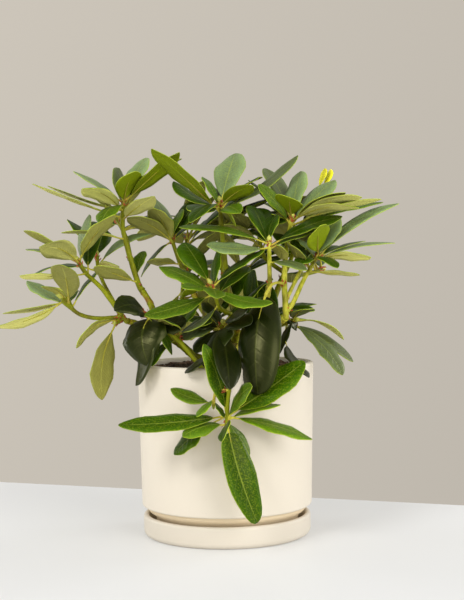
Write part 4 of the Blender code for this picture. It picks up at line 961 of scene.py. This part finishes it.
def pot_profile(steps):
    """The pot: a body that narrows a little downwards, on a recessed foot, with a drain hole."""
    foot_bottom = SAUCER_FLOOR + GAP
    inner_bottom = POT_FOOT_RADIUS - POT_WALL
    wall_bottom = POT_BODY_BOTTOM + POT_LOWER_ROUND
    rim_bottom = POT_HEIGHT - RIM_ROUND
    slope = (POT_RADIUS_TOP - POT_RADIUS_BOTTOM) / (POT_HEIGHT - POT_BODY_BOTTOM)
    rise = rim_bottom - POT_BODY_BOTTOM - POT_LOWER_ROUND
    profile = [(DRAIN_RADIUS, foot_bottom)]
    profile += arc(POT_FOOT_RADIUS - POT_FOOT_ROUND, foot_bottom + POT_FOOT_ROUND, POT_FOOT_ROUND,
                   -90, 0, steps)
    profile += POT_SKIRT
    profile += arc(POT_RADIUS_BOTTOM - POT_LOWER_ROUND, wall_bottom, POT_LOWER_ROUND, -90, 0, steps)
    for i in range(1, POT_WALL_STEPS):
        profile.append((POT_RADIUS_BOTTOM + slope * rise * i / POT_WALL_STEPS,
                        wall_bottom + rise * i / POT_WALL_STEPS))
    profile += arc(POT_RADIUS_TOP - RIM_ROUND, rim_bottom, RIM_ROUND, 0, 90, steps)
    profile += arc(POT_RADIUS_TOP - POT_WALL + RIM_ROUND, rim_bottom, RIM_ROUND, 90, 180, steps)
    return profile + [(POT_RADIUS_BOTTOM - POT_WALL, POT_BODY_BOTTOM + POT_WALL + POT_LOWER_ROUND),
                      (inner_bottom, POT_BODY_BOTTOM + POT_WALL - POT_FOOT_ROUND),
                      (inner_bottom, foot_bottom + POT_FLOOR),
                      (DRAIN_RADIUS, foot_bottom + POT_FLOOR)]


def saucer_profile(steps):
    """The saucer: a shallow dish with rounded edges and a flat underside."""
    half = SAUCER_WALL / 2
    profile = [(0, 0)]
    profile += arc(SAUCER_RADIUS - SAUCER_LOWER_ROUND, SAUCER_LOWER_ROUND, SAUCER_LOWER_ROUND, -90, 0, steps)
    profile += arc(SAUCER_RADIUS - half, SAUCER_HEIGHT - half, half, 0, 180, 2 * steps)
    profile += arc(SAUCER_RADIUS - SAUCER_WALL - SAUCER_INNER_ROUND, SAUCER_FLOOR + SAUCER_INNER_ROUND,
                   SAUCER_INNER_ROUND, 0, -90, steps)
    return profile + [(0, SAUCER_FLOOR)]


def turned(profile, steps, closed):
    """A solid turned about the Z axis from a profile of (radius, height)."""
    bm = bmesh.new()
    verts = [bm.verts.new((r, 0, z)) for r, z in profile]
    edges = [bm.edges.new(pair) for pair in zip(verts, verts[1:])]
    if closed:
        edges.append(bm.edges.new((verts[-1], verts[0])))
    bmesh.ops.spin(bm, geom=verts + edges, cent=(0, 0, 0), axis=UP, angle=math.tau, steps=steps,
                   use_merge=True)
    bmesh.ops.remove_doubles(bm, verts=bm.verts[:], dist=0.001)
    bmesh.ops.recalc_face_normals(bm, faces=bm.faces[:])
    for face in bm.faces:
        face.smooth = True
    return bm


# What a user would change


def colour_value(name, description, default):
    return FloatVectorProperty(name=name, description=description, subtype="COLOR", size=3, min=0, max=1,
                               default=default)


class RhododendronSizes(bpy.types.PropertyGroup):
    leaf_thickness: FloatProperty(
        name="Leaf thickness", description="Thickness of a leaf blade", unit="LENGTH", default=0.0006)
    turned_steps: IntProperty(
        name="Turned steps", description="Faces round the pot and the saucer", default=144, min=24)
    corner_steps: IntProperty(
        name="Corner steps", description="Faces over each rounded corner of the planter", default=6, min=2)
    chip_count: IntProperty(
        name="Bark chips", description="How many chips of bark lie on the soil", default=620, min=0)
    chip_length: FloatProperty(
        name="Chip length", description="Length of a large chip of bark", unit="LENGTH", default=0.011)
    bark_relief: FloatProperty(
        name="Bark relief", description="Height of the bark's ridges and scars", unit="LENGTH",
        default=0.00045, precision=5)


class RhododendronColours(bpy.types.PropertyGroup):
    bright: colour_value("Bright leaf", "Top of the youngest leaves", (0.072, 0.155, 0.003))
    lush: colour_value("Lush leaf", "Top of the leaves on the low shoots", (0.034, 0.098, 0.0006))
    fresh: colour_value("Fresh leaf", "Top of this year's leaves", (0.072, 0.15, 0.006))
    deep: colour_value("Deep leaf", "Top of the grown leaves", (0.025, 0.066, 0.0008))
    # Dark is partly the colour of old leaves and partly painted shade: this near-black top stands in for the
    # shade deep inside the crown
    dark: colour_value("Dark leaf", "Top of the oldest leaves", (0.0065, 0.0125, 0.0012))
    # Soft and grey are painted sheen, not a bloom on the leaf: the grey-green highlight of a leaf's gloss
    # laid into the colour of its top
    soft: colour_value("Soft leaf", "Top of leaves with a grey bloom", (0.188, 0.278, 0.11))
    grey: colour_value("Grey leaf", "Top of leaves with a dull bloom", (0.080, 0.115, 0.035))
    new: colour_value("New leaf", "Leaves that have just opened", (0.85, 0.8, 0.02))
    olive: colour_value("Olive underside", "Underside of the grown leaves", (0.345, 0.34, 0.072))
    lime: colour_value("Lime underside", "Underside of the young leaves", (0.255, 0.33, 0.007))
    dull: colour_value("Dull underside", "Underside of the oldest leaves", (0.12, 0.135, 0.04))
    pale: colour_value("Pale underside", "Underside of leaves that catch the light", (0.74, 0.72, 0.2))
    rib: colour_value("Midrib", "Midrib and veins on a leaf's top", (0.34, 0.42, 0.05))
    # The pale edge is partly the leaf's own margin and partly painted rim light, the bright line that light
    # from behind draws along a leaf
    edge: colour_value("Leaf edge", "Thin pale edge of a leaf", (0.38, 0.47, 0.015))
    dim_edge: colour_value("Dark leaf edge", "Edge of the oldest leaves", (0.03, 0.045, 0.012))
    stalk: colour_value("Leaf stalk", "Stalk of a leaf", (0.5, 0.46, 0.05))
    amber: colour_value("Amber", "Warm parts of the leaf stalks", (0.40, 0.25, 0.05))
    pale_bark: colour_value("Pale bark", "Bark of the twigs on the lit side", (0.50, 0.48, 0.05))
    green_bark: colour_value("Green bark", "Bark of the twigs", (0.22, 0.24, 0.005))
    old_bark: colour_value("Old bark", "Bark of the trunk and of the twigs' scars", (0.085, 0.065, 0.01))
    cracks: colour_value("Bark cracks", "Dark streaks in the bark of the trunk", (0.05, 0.035, 0.02))
    flush: colour_value("Red flush", "Reddish parts of bark and stalks", (0.34, 0.1, 0.03))
    bud: colour_value("Bud", "Scales of the buds", (0.5, 0.52, 0.07))
    scale: colour_value("Bud scale", "Dry scales where a shoot began", (0.5, 0.105, 0.025))
    cream: colour_value("Glaze", "Matte cream glaze of pot and saucer", (0.70, 0.634, 0.525))
    # The foot's warm colour is partly bare clay and partly painted warm bounce light in the gap above the
    # saucer
    clay: colour_value("Bare clay", "Unglazed foot of the pot", (0.78, 0.64, 0.43))
    mix: colour_value("Bark mix", "Damp bark mix", (0.06, 0.033, 0.019))
    mix_light: colour_value("Dry chips", "Paler, drier chips of bark", (0.22, 0.13, 0.07))
    table: colour_value("Table", "Pale table that the pot stands on", (0.625, 0.63, 0.632))
    wall: colour_value("Wall", "Plain wall behind", (0.562, 0.518, 0.452))


def sizes():
    return bpy.context.scene.rhododendron_sizes


def shade_of(name, factor=1):
    """One of the user's colours, made lighter or darker by a factor."""
    return tuple(factor * value for value in getattr(bpy.context.scene.rhododendron_colours, name))


# Finishes


def sums(operation):
    """A sum of two values as a Math node, and the same sum with its two values swapped."""

    def straight(first, second):
        return first.sum(operation, first, second)

    def swapped(second, first):
        return second.sum(operation, first, second)

    return straight, swapped


class Wire:
    """The output of a node. A sum written on it adds Math nodes."""

    def __init__(self, nodes, socket):
        self.nodes = nodes
        self.socket = socket

    def sum(self, operation, *values):
        return self.nodes.node("ShaderNodeMath", {"operation": operation}, dict(enumerate(values)))

    __add__, __radd__ = sums("ADD")
    __sub__, __rsub__ = sums("SUBTRACT")
    __mul__, __rmul__ = sums("MULTIPLY")
    __truediv__, __rtruediv__ = sums("DIVIDE")
    __mod__, __rmod__ = sums("MODULO")

    def __abs__(self):
        return self.sum("ABSOLUTE", self)

    def limit(self):
        """Held between 0 and 1."""
        return self.nodes.node("ShaderNodeClamp", {}, {0: self})


class Nodes:
    """A tree of nodes, to which nodes are added by their types and wired by their sockets."""

    def __init__(self, tree):
        self.tree = tree

    def node(self, kind, settings, inputs, out=0):
        """Adds a node: its settings first, then the values or wires of its sockets."""
        made = self.tree.nodes.new(kind)
        for key, value in settings.items():
            setattr(made, key, value)
        for key, value in inputs.items():
            self.feed(made.inputs[key], value)
        return Wire(self, made.outputs[out])

    def feed(self, socket, value):
        if isinstance(value, Wire):
            self.tree.links.new(value.socket, socket)
        elif socket.type == "RGBA" and len(value) == 3:
            socket.default_value = (*value, 1)
        else:
            socket.default_value = value


class Finish(Nodes):
    """A material, with its roughness and, if named, a gloss that has the plant's yellowish sheen."""

    def __init__(self, name, roughness, gloss=None):
        self.material = bpy.data.materials.new(name)
        self.material.use_nodes = True
        super().__init__(self.material.node_tree)
        self.set("Roughness", roughness)
        if gloss is not None:
            self.set("Specular IOR Level", gloss)
            self.set("Specular Tint", SHEEN)

    def set(self, name, value):
        self.feed(self.tree.nodes["Principled BSDF"].inputs[name], value)

    def mix(self, share, first, second):
        """A colour between two, by a share."""
        return self.node("ShaderNodeMix", {"data_type": "RGBA"}, {0: share, 6: first, 7: second}, 2)

    def shade(self, colour, amount):
        """A colour made lighter or darker by a factor."""
        return self.node("ShaderNodeVectorMath", {"operation": "SCALE"}, {0: colour, 3: amount})

    def place(self):
        return self.node("ShaderNodeTexCoord", {}, {}, "Object")

    def tint(self):
        """The number that each leaf, chip or twig of a piece carries."""
        return self.node("ShaderNodeAttribute", {"attribute_name": "tint"}, {}, "Fac")

    def noise(self, size, detail=2.0, stretch=(1, 1, 1)):
        """Cloudy noise with spots of about a size in metres, from 0 to 1."""
        place = self.node("ShaderNodeMapping", {}, {0: self.place(), 3: stretch})
        return self.node("ShaderNodeTexNoise", {}, {"Vector": place, "Scale": 1 / size, "Detail": detail})

    def relief(self, height, depth, strength=1.0):
        """Feeds a Bump node from a height between 0 and 1 that stands for a depth in metres."""
        bump = self.node("ShaderNodeBump", {}, {"Height": height, "Distance": depth, "Strength": strength})
        self.set("Normal", bump)


def vein_pattern(finish, rib_width):
    """Where a leaf's midrib, side veins and edge run, each from 0 to 1, on the leaf's own map, and how far
    a point is from the midrib and from the base."""
    leaf_map = finish.node("ShaderNodeUVMap", {"uv_map": "leaf"}, {})
    run, side = (finish.node("ShaderNodeSeparateXYZ", {}, {0: leaf_map}, axis) for axis in "XY")
    across = abs(side * 2 - 1)
    rib = (1 - across / (rib_width * (1.35 - run))).limit()
    slanted = (run - across * 0.10 - across * across * 0.05) * VEIN_PAIRS
    vein = (1 - (1 - abs((slanted % 1) - 0.5) * 2) / 0.22).limit() * (1.05 - across * 0.95).limit()
    edge = ((across - 0.93) / 0.05).limit()
    return rib, vein, edge, across, run


def leaf_top(tone):
    """The top of a leaf: pale midrib, sunk side veins with the blade bulging between them."""
    roughness, contrast, gloss = TOP_LOOKS[tone]
    rib_colour, edge_colour = shade_of("rib"), shade_of("edge")
    finish = Finish("leaf_top_" + tone, roughness, gloss)
    rib, vein, edge, across, run = vein_pattern(finish, 0.085)
    cloud = finish.noise(0.012, 3.0)
    fine = finish.noise(0.0016)
    patch = finish.noise(0.03)
    # Pale specks: the fine net of veins, and partly painted glints of light on it
    speck = ((finish.noise(0.0014, 1.5) - 0.5) * 7).limit()
    lightness = (finish.tint() * 0.45 + 0.76) * (cloud * 0.5 + 0.75) * (fine * 0.7 + 0.58)
    # Painted shade: the blade is darker along its midrib and towards its base, and lighter towards its edges
    # and its tip
    lightness = lightness * (across * across * 0.5 + 0.72) * (run * 0.3 + 0.88)
    yellowed = finish.mix(((patch - 0.5) * 3).limit() * (0.3 * contrast * contrast), shade_of(tone),
                          edge_colour)
    blade = finish.mix(speck * (1.6 * contrast ** 3), finish.shade(yellowed, lightness), edge_colour)
    veined = finish.mix(vein * 0.2 * contrast, blade, rib_colour)
    ribbed = finish.mix(rib * contrast, veined, rib_colour)
    # Pale edge band: partly the leaf's own margin, partly painted rim light
    finish.set("Base Color", finish.mix(edge * contrast * 0.7, ribbed, edge_colour))
    finish.set("Roughness", cloud * 0.16 + (roughness - 0.08))
    finish.relief((1 - vein) * 0.4 + (1 - rib) * 0.3 + fine * 0.12 + cloud * 0.3,
                  0.0003 + 0.001 * contrast, 0.8)
    return finish.material


def leaf_under(tone):
    """The underside: matte and paler, with the veins standing out as a fine net."""
    finish = Finish("leaf_under_" + tone, 0.62, 0.15)
    rib, vein, edge = vein_pattern(finish, 0.10)[:3]
    net = finish.node("ShaderNodeTexVoronoi", {"feature": "DISTANCE_TO_EDGE"},
                      {"Vector": finish.place(), "Scale": 520.0})
    cell = (net * 3).limit()
    cloud = finish.noise(0.015, 3.0)
    lightness = (finish.tint() * 0.4 + 0.78) * (cloud * 0.44 + 0.78) * (cell * 0.14 + 0.9)
    blade = finish.shade(shade_of(tone), lightness)
    # Paler midrib and veins, and a paler edge that is partly painted rim light
    veins = rib * 0.7 + vein * 0.2 + edge * 0.25
    finish.set("Base Color", finish.mix(veins, blade, shade_of(tone, UNDER_RIB)))
    finish.relief(rib * 0.6 + vein * 0.4 + (1 - cell) * 0.15, 0.0009, 0.8)
    return finish.material


def stem_skin(name, colour, streaks, flush, factor=1, roughness=0.45):
    """Bark: streaked along its length with a second colour, made darker by a factor, and with a flush of a
    third in places."""
    finish = Finish(name, roughness, 0.25)
    streak = finish.noise(0.004, 3.0, (1, 1, 0.25))
    patch = finish.noise(0.018)
    grain = finish.noise(0.0009)
    body = finish.mix(((streak - 0.42) * 4).limit(), shade_of(colour), shade_of(streaks, factor))
    flushed = finish.mix(((patch - 0.52) * 5).limit() * 0.7, body, shade_of(flush))
    finish.set("Base Color", finish.shade(flushed, grain * 0.4 + 0.8))
    finish.relief(streak * 0.7 + grain * 0.3, 0.0005, 0.7)
    return finish.material


def plain_skin(name, colour, factor, spot, roughness):
    """A colour and a darker shade of it that run into each other, with a fine relief."""
    finish = Finish(name, roughness)
    cloud = finish.noise(spot, 4.0)
    grain = finish.noise(spot / 6)
    body = finish.mix(((cloud - 0.35) * 3).limit(), shade_of(colour), shade_of(colour, factor))
    finish.set("Base Color", finish.shade(body, finish.tint() * 0.5 + 0.75))
    finish.relief(cloud * 0.6 + grain * 0.4, 0.0003, 0.8)
    return finish.material


def glaze(name, colour, roughness, factor=1):
    """Matte glazed stoneware: faint clouds, fine pits and a few specks."""
    finish = Finish(name, roughness)
    cloud = finish.noise(0.05, 3.0)
    grain = finish.noise(0.0011, 3.0)
    speck = ((finish.noise(0.0028, 1.0) - 0.72) * 8).limit()
    lightness = (cloud * 0.05 + 0.975) * (1 - speck * 0.06)
    finish.set("Base Color", finish.shade(shade_of(colour, factor), lightness))
    finish.set("Roughness", grain * 0.14 + (roughness - 0.07))
    finish.relief(grain * 0.5 + cloud * 0.5, 0.00012, 0.5)
    return finish.material


def bark_mix():
    """Damp bark mix: dark crumbs with some paler fibres."""
    finish = Finish("bark_crumbs", 0.9)
    crumb = finish.noise(0.004, 5.0)
    fibre = finish.noise(0.0016, 3.0, (1, 0.3, 1))
    body = finish.mix(((fibre - 0.45) * 4).limit() * 0.5, shade_of("mix"), shade_of("mix_light"))
    finish.set("Base Color", finish.shade(body, (finish.tint() * 1.2 + 0.4) * (crumb * 0.8 + 0.6)))
    finish.relief(crumb * 0.6 + fibre * 0.4, 0.0012, 0.9)
    return finish.material


class MakePlanter(bpy.types.Operator):
    """Pot and saucer, turned in matte cream stoneware"""
    bl_idname = "rhododendron.planter"
    bl_label = "Planter"

    def execute(self, context):
        steps = sizes().corner_steps
        for name, node, profile, factor in (("pot_shell", "pot", pot_profile(steps), 1),
                                            ("saucer_dish", "saucer", saucer_profile(steps), SAUCER_PAINTED_SHADE)):
            bm = turned(profile, sizes().turned_steps, closed=node == "pot")
            bmesh.ops.translate(bm, vec=(PLANTER_SHIFT, 0, 0), verts=bm.verts[:])
            # The saucer gets a darker copy of the cream glaze: painted shade
            finishes = [glaze(name + "_glaze", "cream", 0.5, factor)]
            if node == "pot":
                # The foot gets the clay colour: partly bare clay, partly painted warm bounce light from the
                # saucer
                finishes.append(glaze("bare_clay", "clay", 0.8))
                for face in bm.faces:
                    face.material_index = int(face.calc_center_median().z < POT_BODY_BOTTOM)
            finish_piece(bm, name, finishes, [node])
        return {"FINISHED"}


class MakeSoil(bpy.types.Operator):
    """Damp bark mix, covered with loose chips of bark"""
    bl_idname = "rhododendron.soil"
    bl_label = "Bark mix"

    def execute(self, context):
        crumbs = bark_mix()
        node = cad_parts["soil"]
        node.data.materials.clear()
        node.data.materials.append(crumbs)
        rng = random.Random(CHIP_SEED)
        template = chip_template()
        bm = bmesh.new()
        count = sizes().chip_count
        for number in range(count):
            reach = CHIP_FIELD * math.sqrt((number + 0.5) / count)
            angle = number * GOLDEN_ANGLE + rng.uniform(-CHIP_STRAY, CHIP_STRAY)
            if reach < ROOT_FLARE:
                continue
            length = sizes().chip_length / MM * rng.uniform(*CHIP_SHORT)
            shape = Vector((length / 2, length * rng.uniform(*CHIP_WIDE), rng.uniform(*CHIP_THICK)))
            turn = Matrix.Identity(3)
            for least, most, axis in CHIP_TURNS:
                turn = turn @ Matrix.Rotation(rng.uniform(least, most), 3, axis)
            centre = Vector((reach * math.cos(angle), reach * math.sin(angle),
                             SOIL_LEVEL + rng.uniform(*CHIP_RISE)))
            shift = Vector([rng.uniform(-NOISE_FIELD, NOISE_FIELD) for axis in range(3)])
            for vert in copy_in(bm, template, rng.random())[0]:
                jag = 1 + CHIP_JAG * noise.noise(vert.co * CHIP_GRAIN + shift)
                vert.co = centre + turn @ Vector(a * b * jag for a, b in zip(vert.co, shape))
        finish_piece(bm, "bark_chips", [crumbs])
        return {"FINISHED"}


class MakeLimbs(bpy.types.Operator):
    """Trunk and boughs, with the relief of their bark"""
    bl_idname = "rhododendron.limbs"
    bl_label = "Trunk and boughs"

    def execute(self, context):
        bark = stem_skin("bough_bark", "green_bark", "old_bark", "flush")
        old = stem_skin("trunk_bark", "old_bark", "cracks", "green_bark", roughness=0.7)
        light = stem_skin("pale_bough_bark", "pale_bark", "green_bark", "flush")
        relief = sizes().bark_relief / MM
        for limb in (TRUNK,) + BOUGHS:
            trunk = limb is TRUNK
            path = smooth_path(limb.path, 6)
            radii = limb.radii
            if trunk:
                path = [Vector((0, 0, SOIL_LEVEL - TRUNK_SUNK))] + path
                radii = (ROOT_FLARE, limb.radii[0] * FLARE_NECK) + limb.radii[1:]
            else:
                path = [front(p) for p in path]
            path.append(path[-1] + end_way(path) * LIMB_PAST)
            length = path_length(path)

            def radius_at(share, angle):
                run = share * length
                count, depth, fade = FOOT_LOBES
                lobes = depth * math.exp(-run / fade) * math.cos(count * angle + 1) if trunk else 0.0
                flare = 0.0 if trunk else math.exp(-run / ROOT_FADE)
                body = between(radii, share) * (1 + lobes) + flare
                rough = sum(skin_noise(angle, run, turns, pitch) * part for turns, pitch, part in BARK_GRAINS)
                pitch, sharpness, part = BARK_SCARS
                scar = math.exp(-((run / pitch) % 1 - 0.5) ** 2 * sharpness)
                return body + relief * (rough + scar * part)

            bm = bmesh.new()
            shape_tube(bm, tube_template(20, max(16, int(length / 1.1))), path, radius_at)
            skin = old if trunk else light if limb.name in PALE_BOUGHS else bark
            finish_piece(bm, "bark_" + limb.name, [skin], [limb.name])
        return {"FINISHED"}


class MakeFoliage(bpy.types.Operator):
    """Twigs, buds and leaves of every mass, grown on from the boughs"""
    bl_idname = "rhododendron.foliage"
    bl_label = "Foliage"

    def execute(self, context):
        leaf_finishes = [leaf_top(tone) for tone in TOPS] + [leaf_under(tone) for tone in UNDERS]
        # The rims of the leaves take the edge colours: partly their own, partly painted rim light
        leaf_finishes += [plain_skin("leaf_edge", "edge", 0.7, 0.004, 0.45),
                          plain_skin("dark_leaf_edge", "dim_edge", 0.7, 0.004, 0.45)]
        bark = [stem_skin("twig_bark", "green_bark", "green_bark", "old_bark", 0.8),
                stem_skin("pale_twig_bark", "pale_bark", "green_bark", "old_bark")]
        stalk_skin = stem_skin("leaf_stalk", "stalk", "stalk", "amber", 0.75)
        bud_finishes = [plain_skin("bud_skin", "bud", 0.75, 0.003, 0.4),
                        plain_skin("dry_scale", "scale", 0.5, 0.002, 0.6)]
        whole, small = leaf_template(LEAF_ROWS, LEAF_COLUMNS), leaf_template(SCALE_ROWS, SCALE_COLUMNS)
        twig, stalk, ball = tube_template(12, 26), tube_template(8, 12), ball_template(16, 12)
        stems, leaves = grow_plant()
        for mass in MASSES:
            dressed = self.dressed(mass, leaves[mass.name])
            skins = [bark[mass.bough in PALE_BOUGHS], stalk_skin]
            self.leaves_of(mass, dressed, whole, leaf_finishes)
            self.twigs_of(mass, stems[mass.name], [leaf[:2] for leaf in dressed], twig, stalk, skins)
            self.buds_of(mass, stems[mass.name], ball, small, bud_finishes)
        return {"FINISHED"}

    def dressed(self, mass, leaves):
        """Each leaf of a mass with its look and the material slots of its top, underside and rim."""
        rng = random.Random(mass.seed + LOOK_SEED)
        found = []
        for blade, row in leaves:
            tone = row.tone if row else rng.choice(WHORL_TONES)
            top = TOPS.index(tone if tone in TOPS else USUAL_TOP)
            under = UNDERS.index(tone if tone in UNDERS else USUAL_UNDER)
            slots = (top, len(TOPS) + under, len(TOPS + UNDERS) + (tone == "dark"))
            found.append((blade, leaf_look(rng, row), slots))
        return found

    def leaves_of(self, mass, dressed, template, finishes):
        """All leaves of a mass as one piece, which stands for its solid."""
        bm = bmesh.new()
        columns = math.ceil(math.sqrt(len(dressed) / 2))
        rows = math.ceil(len(dressed) / columns)
        for number, (blade, look, slots) in enumerate(dressed):
            shape_leaf(bm, template, blade, slots, look, (number % columns, number // columns, columns, rows))
        finish_piece(bm, mass.name.replace("foliage", "leaves"), finishes, [mass.name])

    def twigs_of(self, mass, stems, dressed, twig, stalk, finishes):
        """The twigs of a mass and the stalks of its leaves."""
        rng = random.Random(mass.seed + TWIG_SEED)
        bm = bmesh.new()
        for stem, item in zip(stems, mass.shoots):
            path = smooth_path([front(p) for p in stem], 4)
            if item.fork is None:
                path[0] = path[0] - (path[1] - path[0]).normalized() * TWIG_SUNK
            length = path_length(path)
            phase = rng.uniform(0, 9)
            slim = item.radius < SLIM_SHOOT

            def radius_at(share, angle):
                run, left = share * length, (1 - share) * length
                turns, pitch, bump = TWIG_BUMPS
                ring, ring_fade = TWIG_RING
                swell, swell_fade = TWIG_SWELL
                amount, back, reach = PLUMP
                plump = amount * max(0, item.bud[0] - FAT_BUD) * math.exp(-((left - back) / reach) ** 2)
                body = between((item.radius, tip_radius(item)), share) * (SLIM_SHARE if slim else 1)
                return (body + bump * skin_noise(angle, run, turns, pitch, phase)
                        + ring * math.exp(-run / ring_fade) + swell * math.exp(-left / swell_fade) + plump)

            shape_tube(bm, twig, path, radius_at, int(slim), rng.random())
        for blade, look in dressed:
            drop = blade.normal.normalized()
            path = [swayed_point(blade, look, share) - drop * min(STALK_DROP, i / 4)
                    for i, share in enumerate(STALK_SHARES)]
            radius = STALK_RADIUS + blade.width / STALK_WIDTHS

            def stalk_radius(share, angle):
                return radius * (1.25 - 0.35 * min(1, share * 8)) * (1 - 0.75 * share)

            shape_tube(bm, stalk, path, stalk_radius, 1, rng.random())
        finish_piece(bm, mass.name.replace("foliage", "twigs"), finishes)

    def buds_of(self, mass, stems, ball, small, finishes):
        """The end buds, and the dry scales round the foot of each whorl and shoot."""
        rng = random.Random(mass.seed + BUD_SEED)
        bm = bmesh.new()
        bm.loops.layers.uv.new("leaf")
        bm.loops.layers.uv.new("OFBake")
        for stem, item in zip(stems, mass.shoots):
            path = [front(p) for p in stem]
            way = end_way(path)
            swell, length = item.bud
            shape_bud(bm, ball, path[-1] - way * BUD_SUNK, way, swell, length + BUD_SUNK, rng.random())
            total = path_length(path)
            back, count, reach = FOOT_RING
            foot = ((max(FOOT_RING_LEAST, total - back), count, reach),)
            for back, count, reach in foot if item.radius < SLIM_SHOOT else SCALE_RINGS + foot:
                for index in range(count):
                    point, heading = along(path, max(0.02, 1 - back / total))
                    flat = heading.orthogonal().normalized()
                    angle = index * math.tau / count + rng.uniform(*SCALE_STRAY)
                    out = flat * math.cos(angle) + heading.cross(flat) * math.sin(angle)
                    base = point + out * (tip_radius(item) * SCALE_SEAT)
                    slant = heading * rng.uniform(*SCALE_ALONG) + out * rng.uniform(*SCALE_AWAY)
                    tip = base + slant * (reach * rng.uniform(*SCALE_LENGTHS))
                    blade = Blade(base, tip, (heading - out).normalized(), Vector(),
                                  rng.uniform(*SCALE_WIDTHS))
                    look = leaf_look(rng, None)._replace(**SCALE_LOOK)
                    shape_leaf(bm, small, blade, (1, 1, 1), look)
        finish_piece(bm, mass.name.replace("foliage", "buds"), finishes)


def leaf_look(rng, row):
    """How one leaf is folded, rolled, waved and turned, by its row and by chance. A leaf that shows its
    edge stays flatter, so that it doesn't show wider than its row says."""
    blunt = row.blunt + rng.uniform(*BLUNT_MORE) if row else rng.uniform(*BLUNT_FREE)
    loose = 0.5 if row else 1
    row = row or FREE_LEAF
    flat = min(1, 0.2 + 1.3 * abs(row.shown) / row.width)
    return Look(
        blunt=blunt,
        full=row.full,
        sway=row.sway + rng.uniform(*SWAY_MORE),
        start=row.start,
        twist=rng.uniform(*TWISTS) * flat * loose,
        fold=FOLD * rng.uniform(*FOLDS) * flat * (1 - row.dome),
        roll=ROLL * rng.uniform(*ROLLS) * flat * (1 + 0.7 * row.dome),
        wave=WAVE * rng.uniform(*WAVES) * flat,
        waves=rng.uniform(*WAVE_COUNT),
        phase=rng.uniform(0, math.tau),
        thick=sizes().leaf_thickness / MM,
        tint=rng.random(),
    )


class MakeStage(bpy.types.Operator):
    """Pale table, plain wall, soft studio light and the camera"""
    bl_idname = "rhododendron.stage"
    bl_label = "Stage"

    def execute(self, context):
        self.table()
        self.light_wall(context.scene)
        for name, place, size, power in LAMPS:
            light = bpy.data.lights.new(name, "AREA")
            light.shape = "DISK"
            light.size = size
            light.energy = power
            lamp = put_in_scene(name, light)
            lamp.location = place
            lamp.rotation_euler = (LAMP_TARGET - Vector(place)).to_track_quat("-Z", "Y").to_euler()
        lens = bpy.data.cameras.new("front_view")
        lens.sensor_fit = "VERTICAL"
        lens.sensor_height = VIEW_SENSOR
        lens.lens = VIEW_LENS
        lens.shift_x, lens.shift_y = VIEW_SHIFT
        camera = put_in_scene("front_view", lens)
        camera.matrix_world = (Matrix.Translation(EYE * MM) @ Matrix.Rotation(math.pi / 2, 4, "X")
                               @ Matrix.Rotation(-VIEW_TURN, 4, "Z"))
        context.scene.camera = camera
        context.scene.view_settings.view_transform = "Standard"
        return {"FINISHED"}

    def table(self):
        """A pale board that glows a little, its far edge laid through two points."""
        depth, thickness = TABLE_SIZE[1:]
        bm = bmesh.new()
        bmesh.ops.create_cube(bm, size=1)
        bmesh.ops.scale(bm, vec=TABLE_SIZE, verts=bm.verts[:])
        bmesh.ops.bevel(bm, geom=bm.edges[:], offset=TABLE_ROUND, offset_type="OFFSET", segments=3,
                        profile=0.5, affect="EDGES", material=-1)
        left, right = TABLE_EDGE
        run = (right - left).normalized()
        away = UP.cross(run)
        centre = left.lerp(right, 0.5) - away * (depth / 2) - UP * (thickness / 2)
        turn = Matrix((run, away, UP)).transposed().to_4x4()
        bmesh.ops.transform(bm, matrix=Matrix.Translation(centre) @ turn, verts=bm.verts[:])
        finish = Finish("table_top", 0.55)
        finish.set("Emission Color", TABLE_GLOW_COLOUR)
        finish.set("Emission Strength", TABLE_GLOW)
        finish.set("Base Color", finish.shade(shade_of("table"), finish.noise(0.2) * 0.03 + 0.985))
        table = put_in_scene("table", keep_mesh(bm, "table"))
        table.data.materials.append(finish.material)

    def light_wall(self, scene):
        """A plain wall behind, a little lighter to the left and at the top, and an even fill of light."""
        scene.world = bpy.data.worlds.new("studio")
        scene.world.use_nodes = True
        nodes = Nodes(scene.world.node_tree)
        way = nodes.node("ShaderNodeTexCoord", {}, {}, "Generated")
        slope = nodes.node("ShaderNodeVectorMath", {"operation": "DOT_PRODUCT"}, {0: way, 1: WALL_SLOPE},
                           "Value")
        shown = nodes.node("ShaderNodeBackground", {}, {"Color": shade_of("wall"), "Strength": slope + 1})
        lit = nodes.node("ShaderNodeBackground", {}, {"Color": FILL_COLOUR, "Strength": FILL_LIGHT})
        seen = nodes.node("ShaderNodeLightPath", {}, {}, "Is Camera Ray")
        mixed = nodes.node("ShaderNodeMixShader", {}, {0: seen, 1: lit, 2: shown})
        nodes.feed(nodes.tree.nodes["World Output"].inputs["Surface"], mixed)


class RhododendronPanel(bpy.types.Panel):
    bl_idname = "VIEW3D_PT_rhododendron"
    bl_label = "Rhododendron"
    bl_space_type = "VIEW_3D"
    bl_region_type = "UI"
    bl_category = "Rhododendron"

    def draw(self, context):
        for maker in MAKERS:
            self.layout.operator(maker.bl_idname)
        for group in (context.scene.rhododendron_sizes, context.scene.rhododendron_colours):
            for name in group.__annotations__:
                self.layout.prop(group, name)


MAKERS = (MakePlanter, MakeSoil, MakeLimbs, MakeFoliage, MakeStage)
CLASSES = (RhododendronSizes, RhododendronColours) + MAKERS + (RhododendronPanel,)


def register():
    for kind in CLASSES:
        bpy.utils.register_class(kind)
    bpy.types.Scene.rhododendron_sizes = PointerProperty(type=RhododendronSizes)
    bpy.types.Scene.rhododendron_colours = PointerProperty(type=RhododendronColours)


def unregister():
    del bpy.types.Scene.rhododendron_colours
    del bpy.types.Scene.rhododendron_sizes
    for kind in reversed(CLASSES):
        bpy.utils.unregister_class(kind)


def main():
    register()
    bpy.ops.rhododendron.planter()
    bpy.ops.rhododendron.soil()
    bpy.ops.rhododendron.limbs()
    bpy.ops.rhododendron.foliage()
    bpy.ops.rhododendron.stage()


if __name__ == "__main__":
    main()
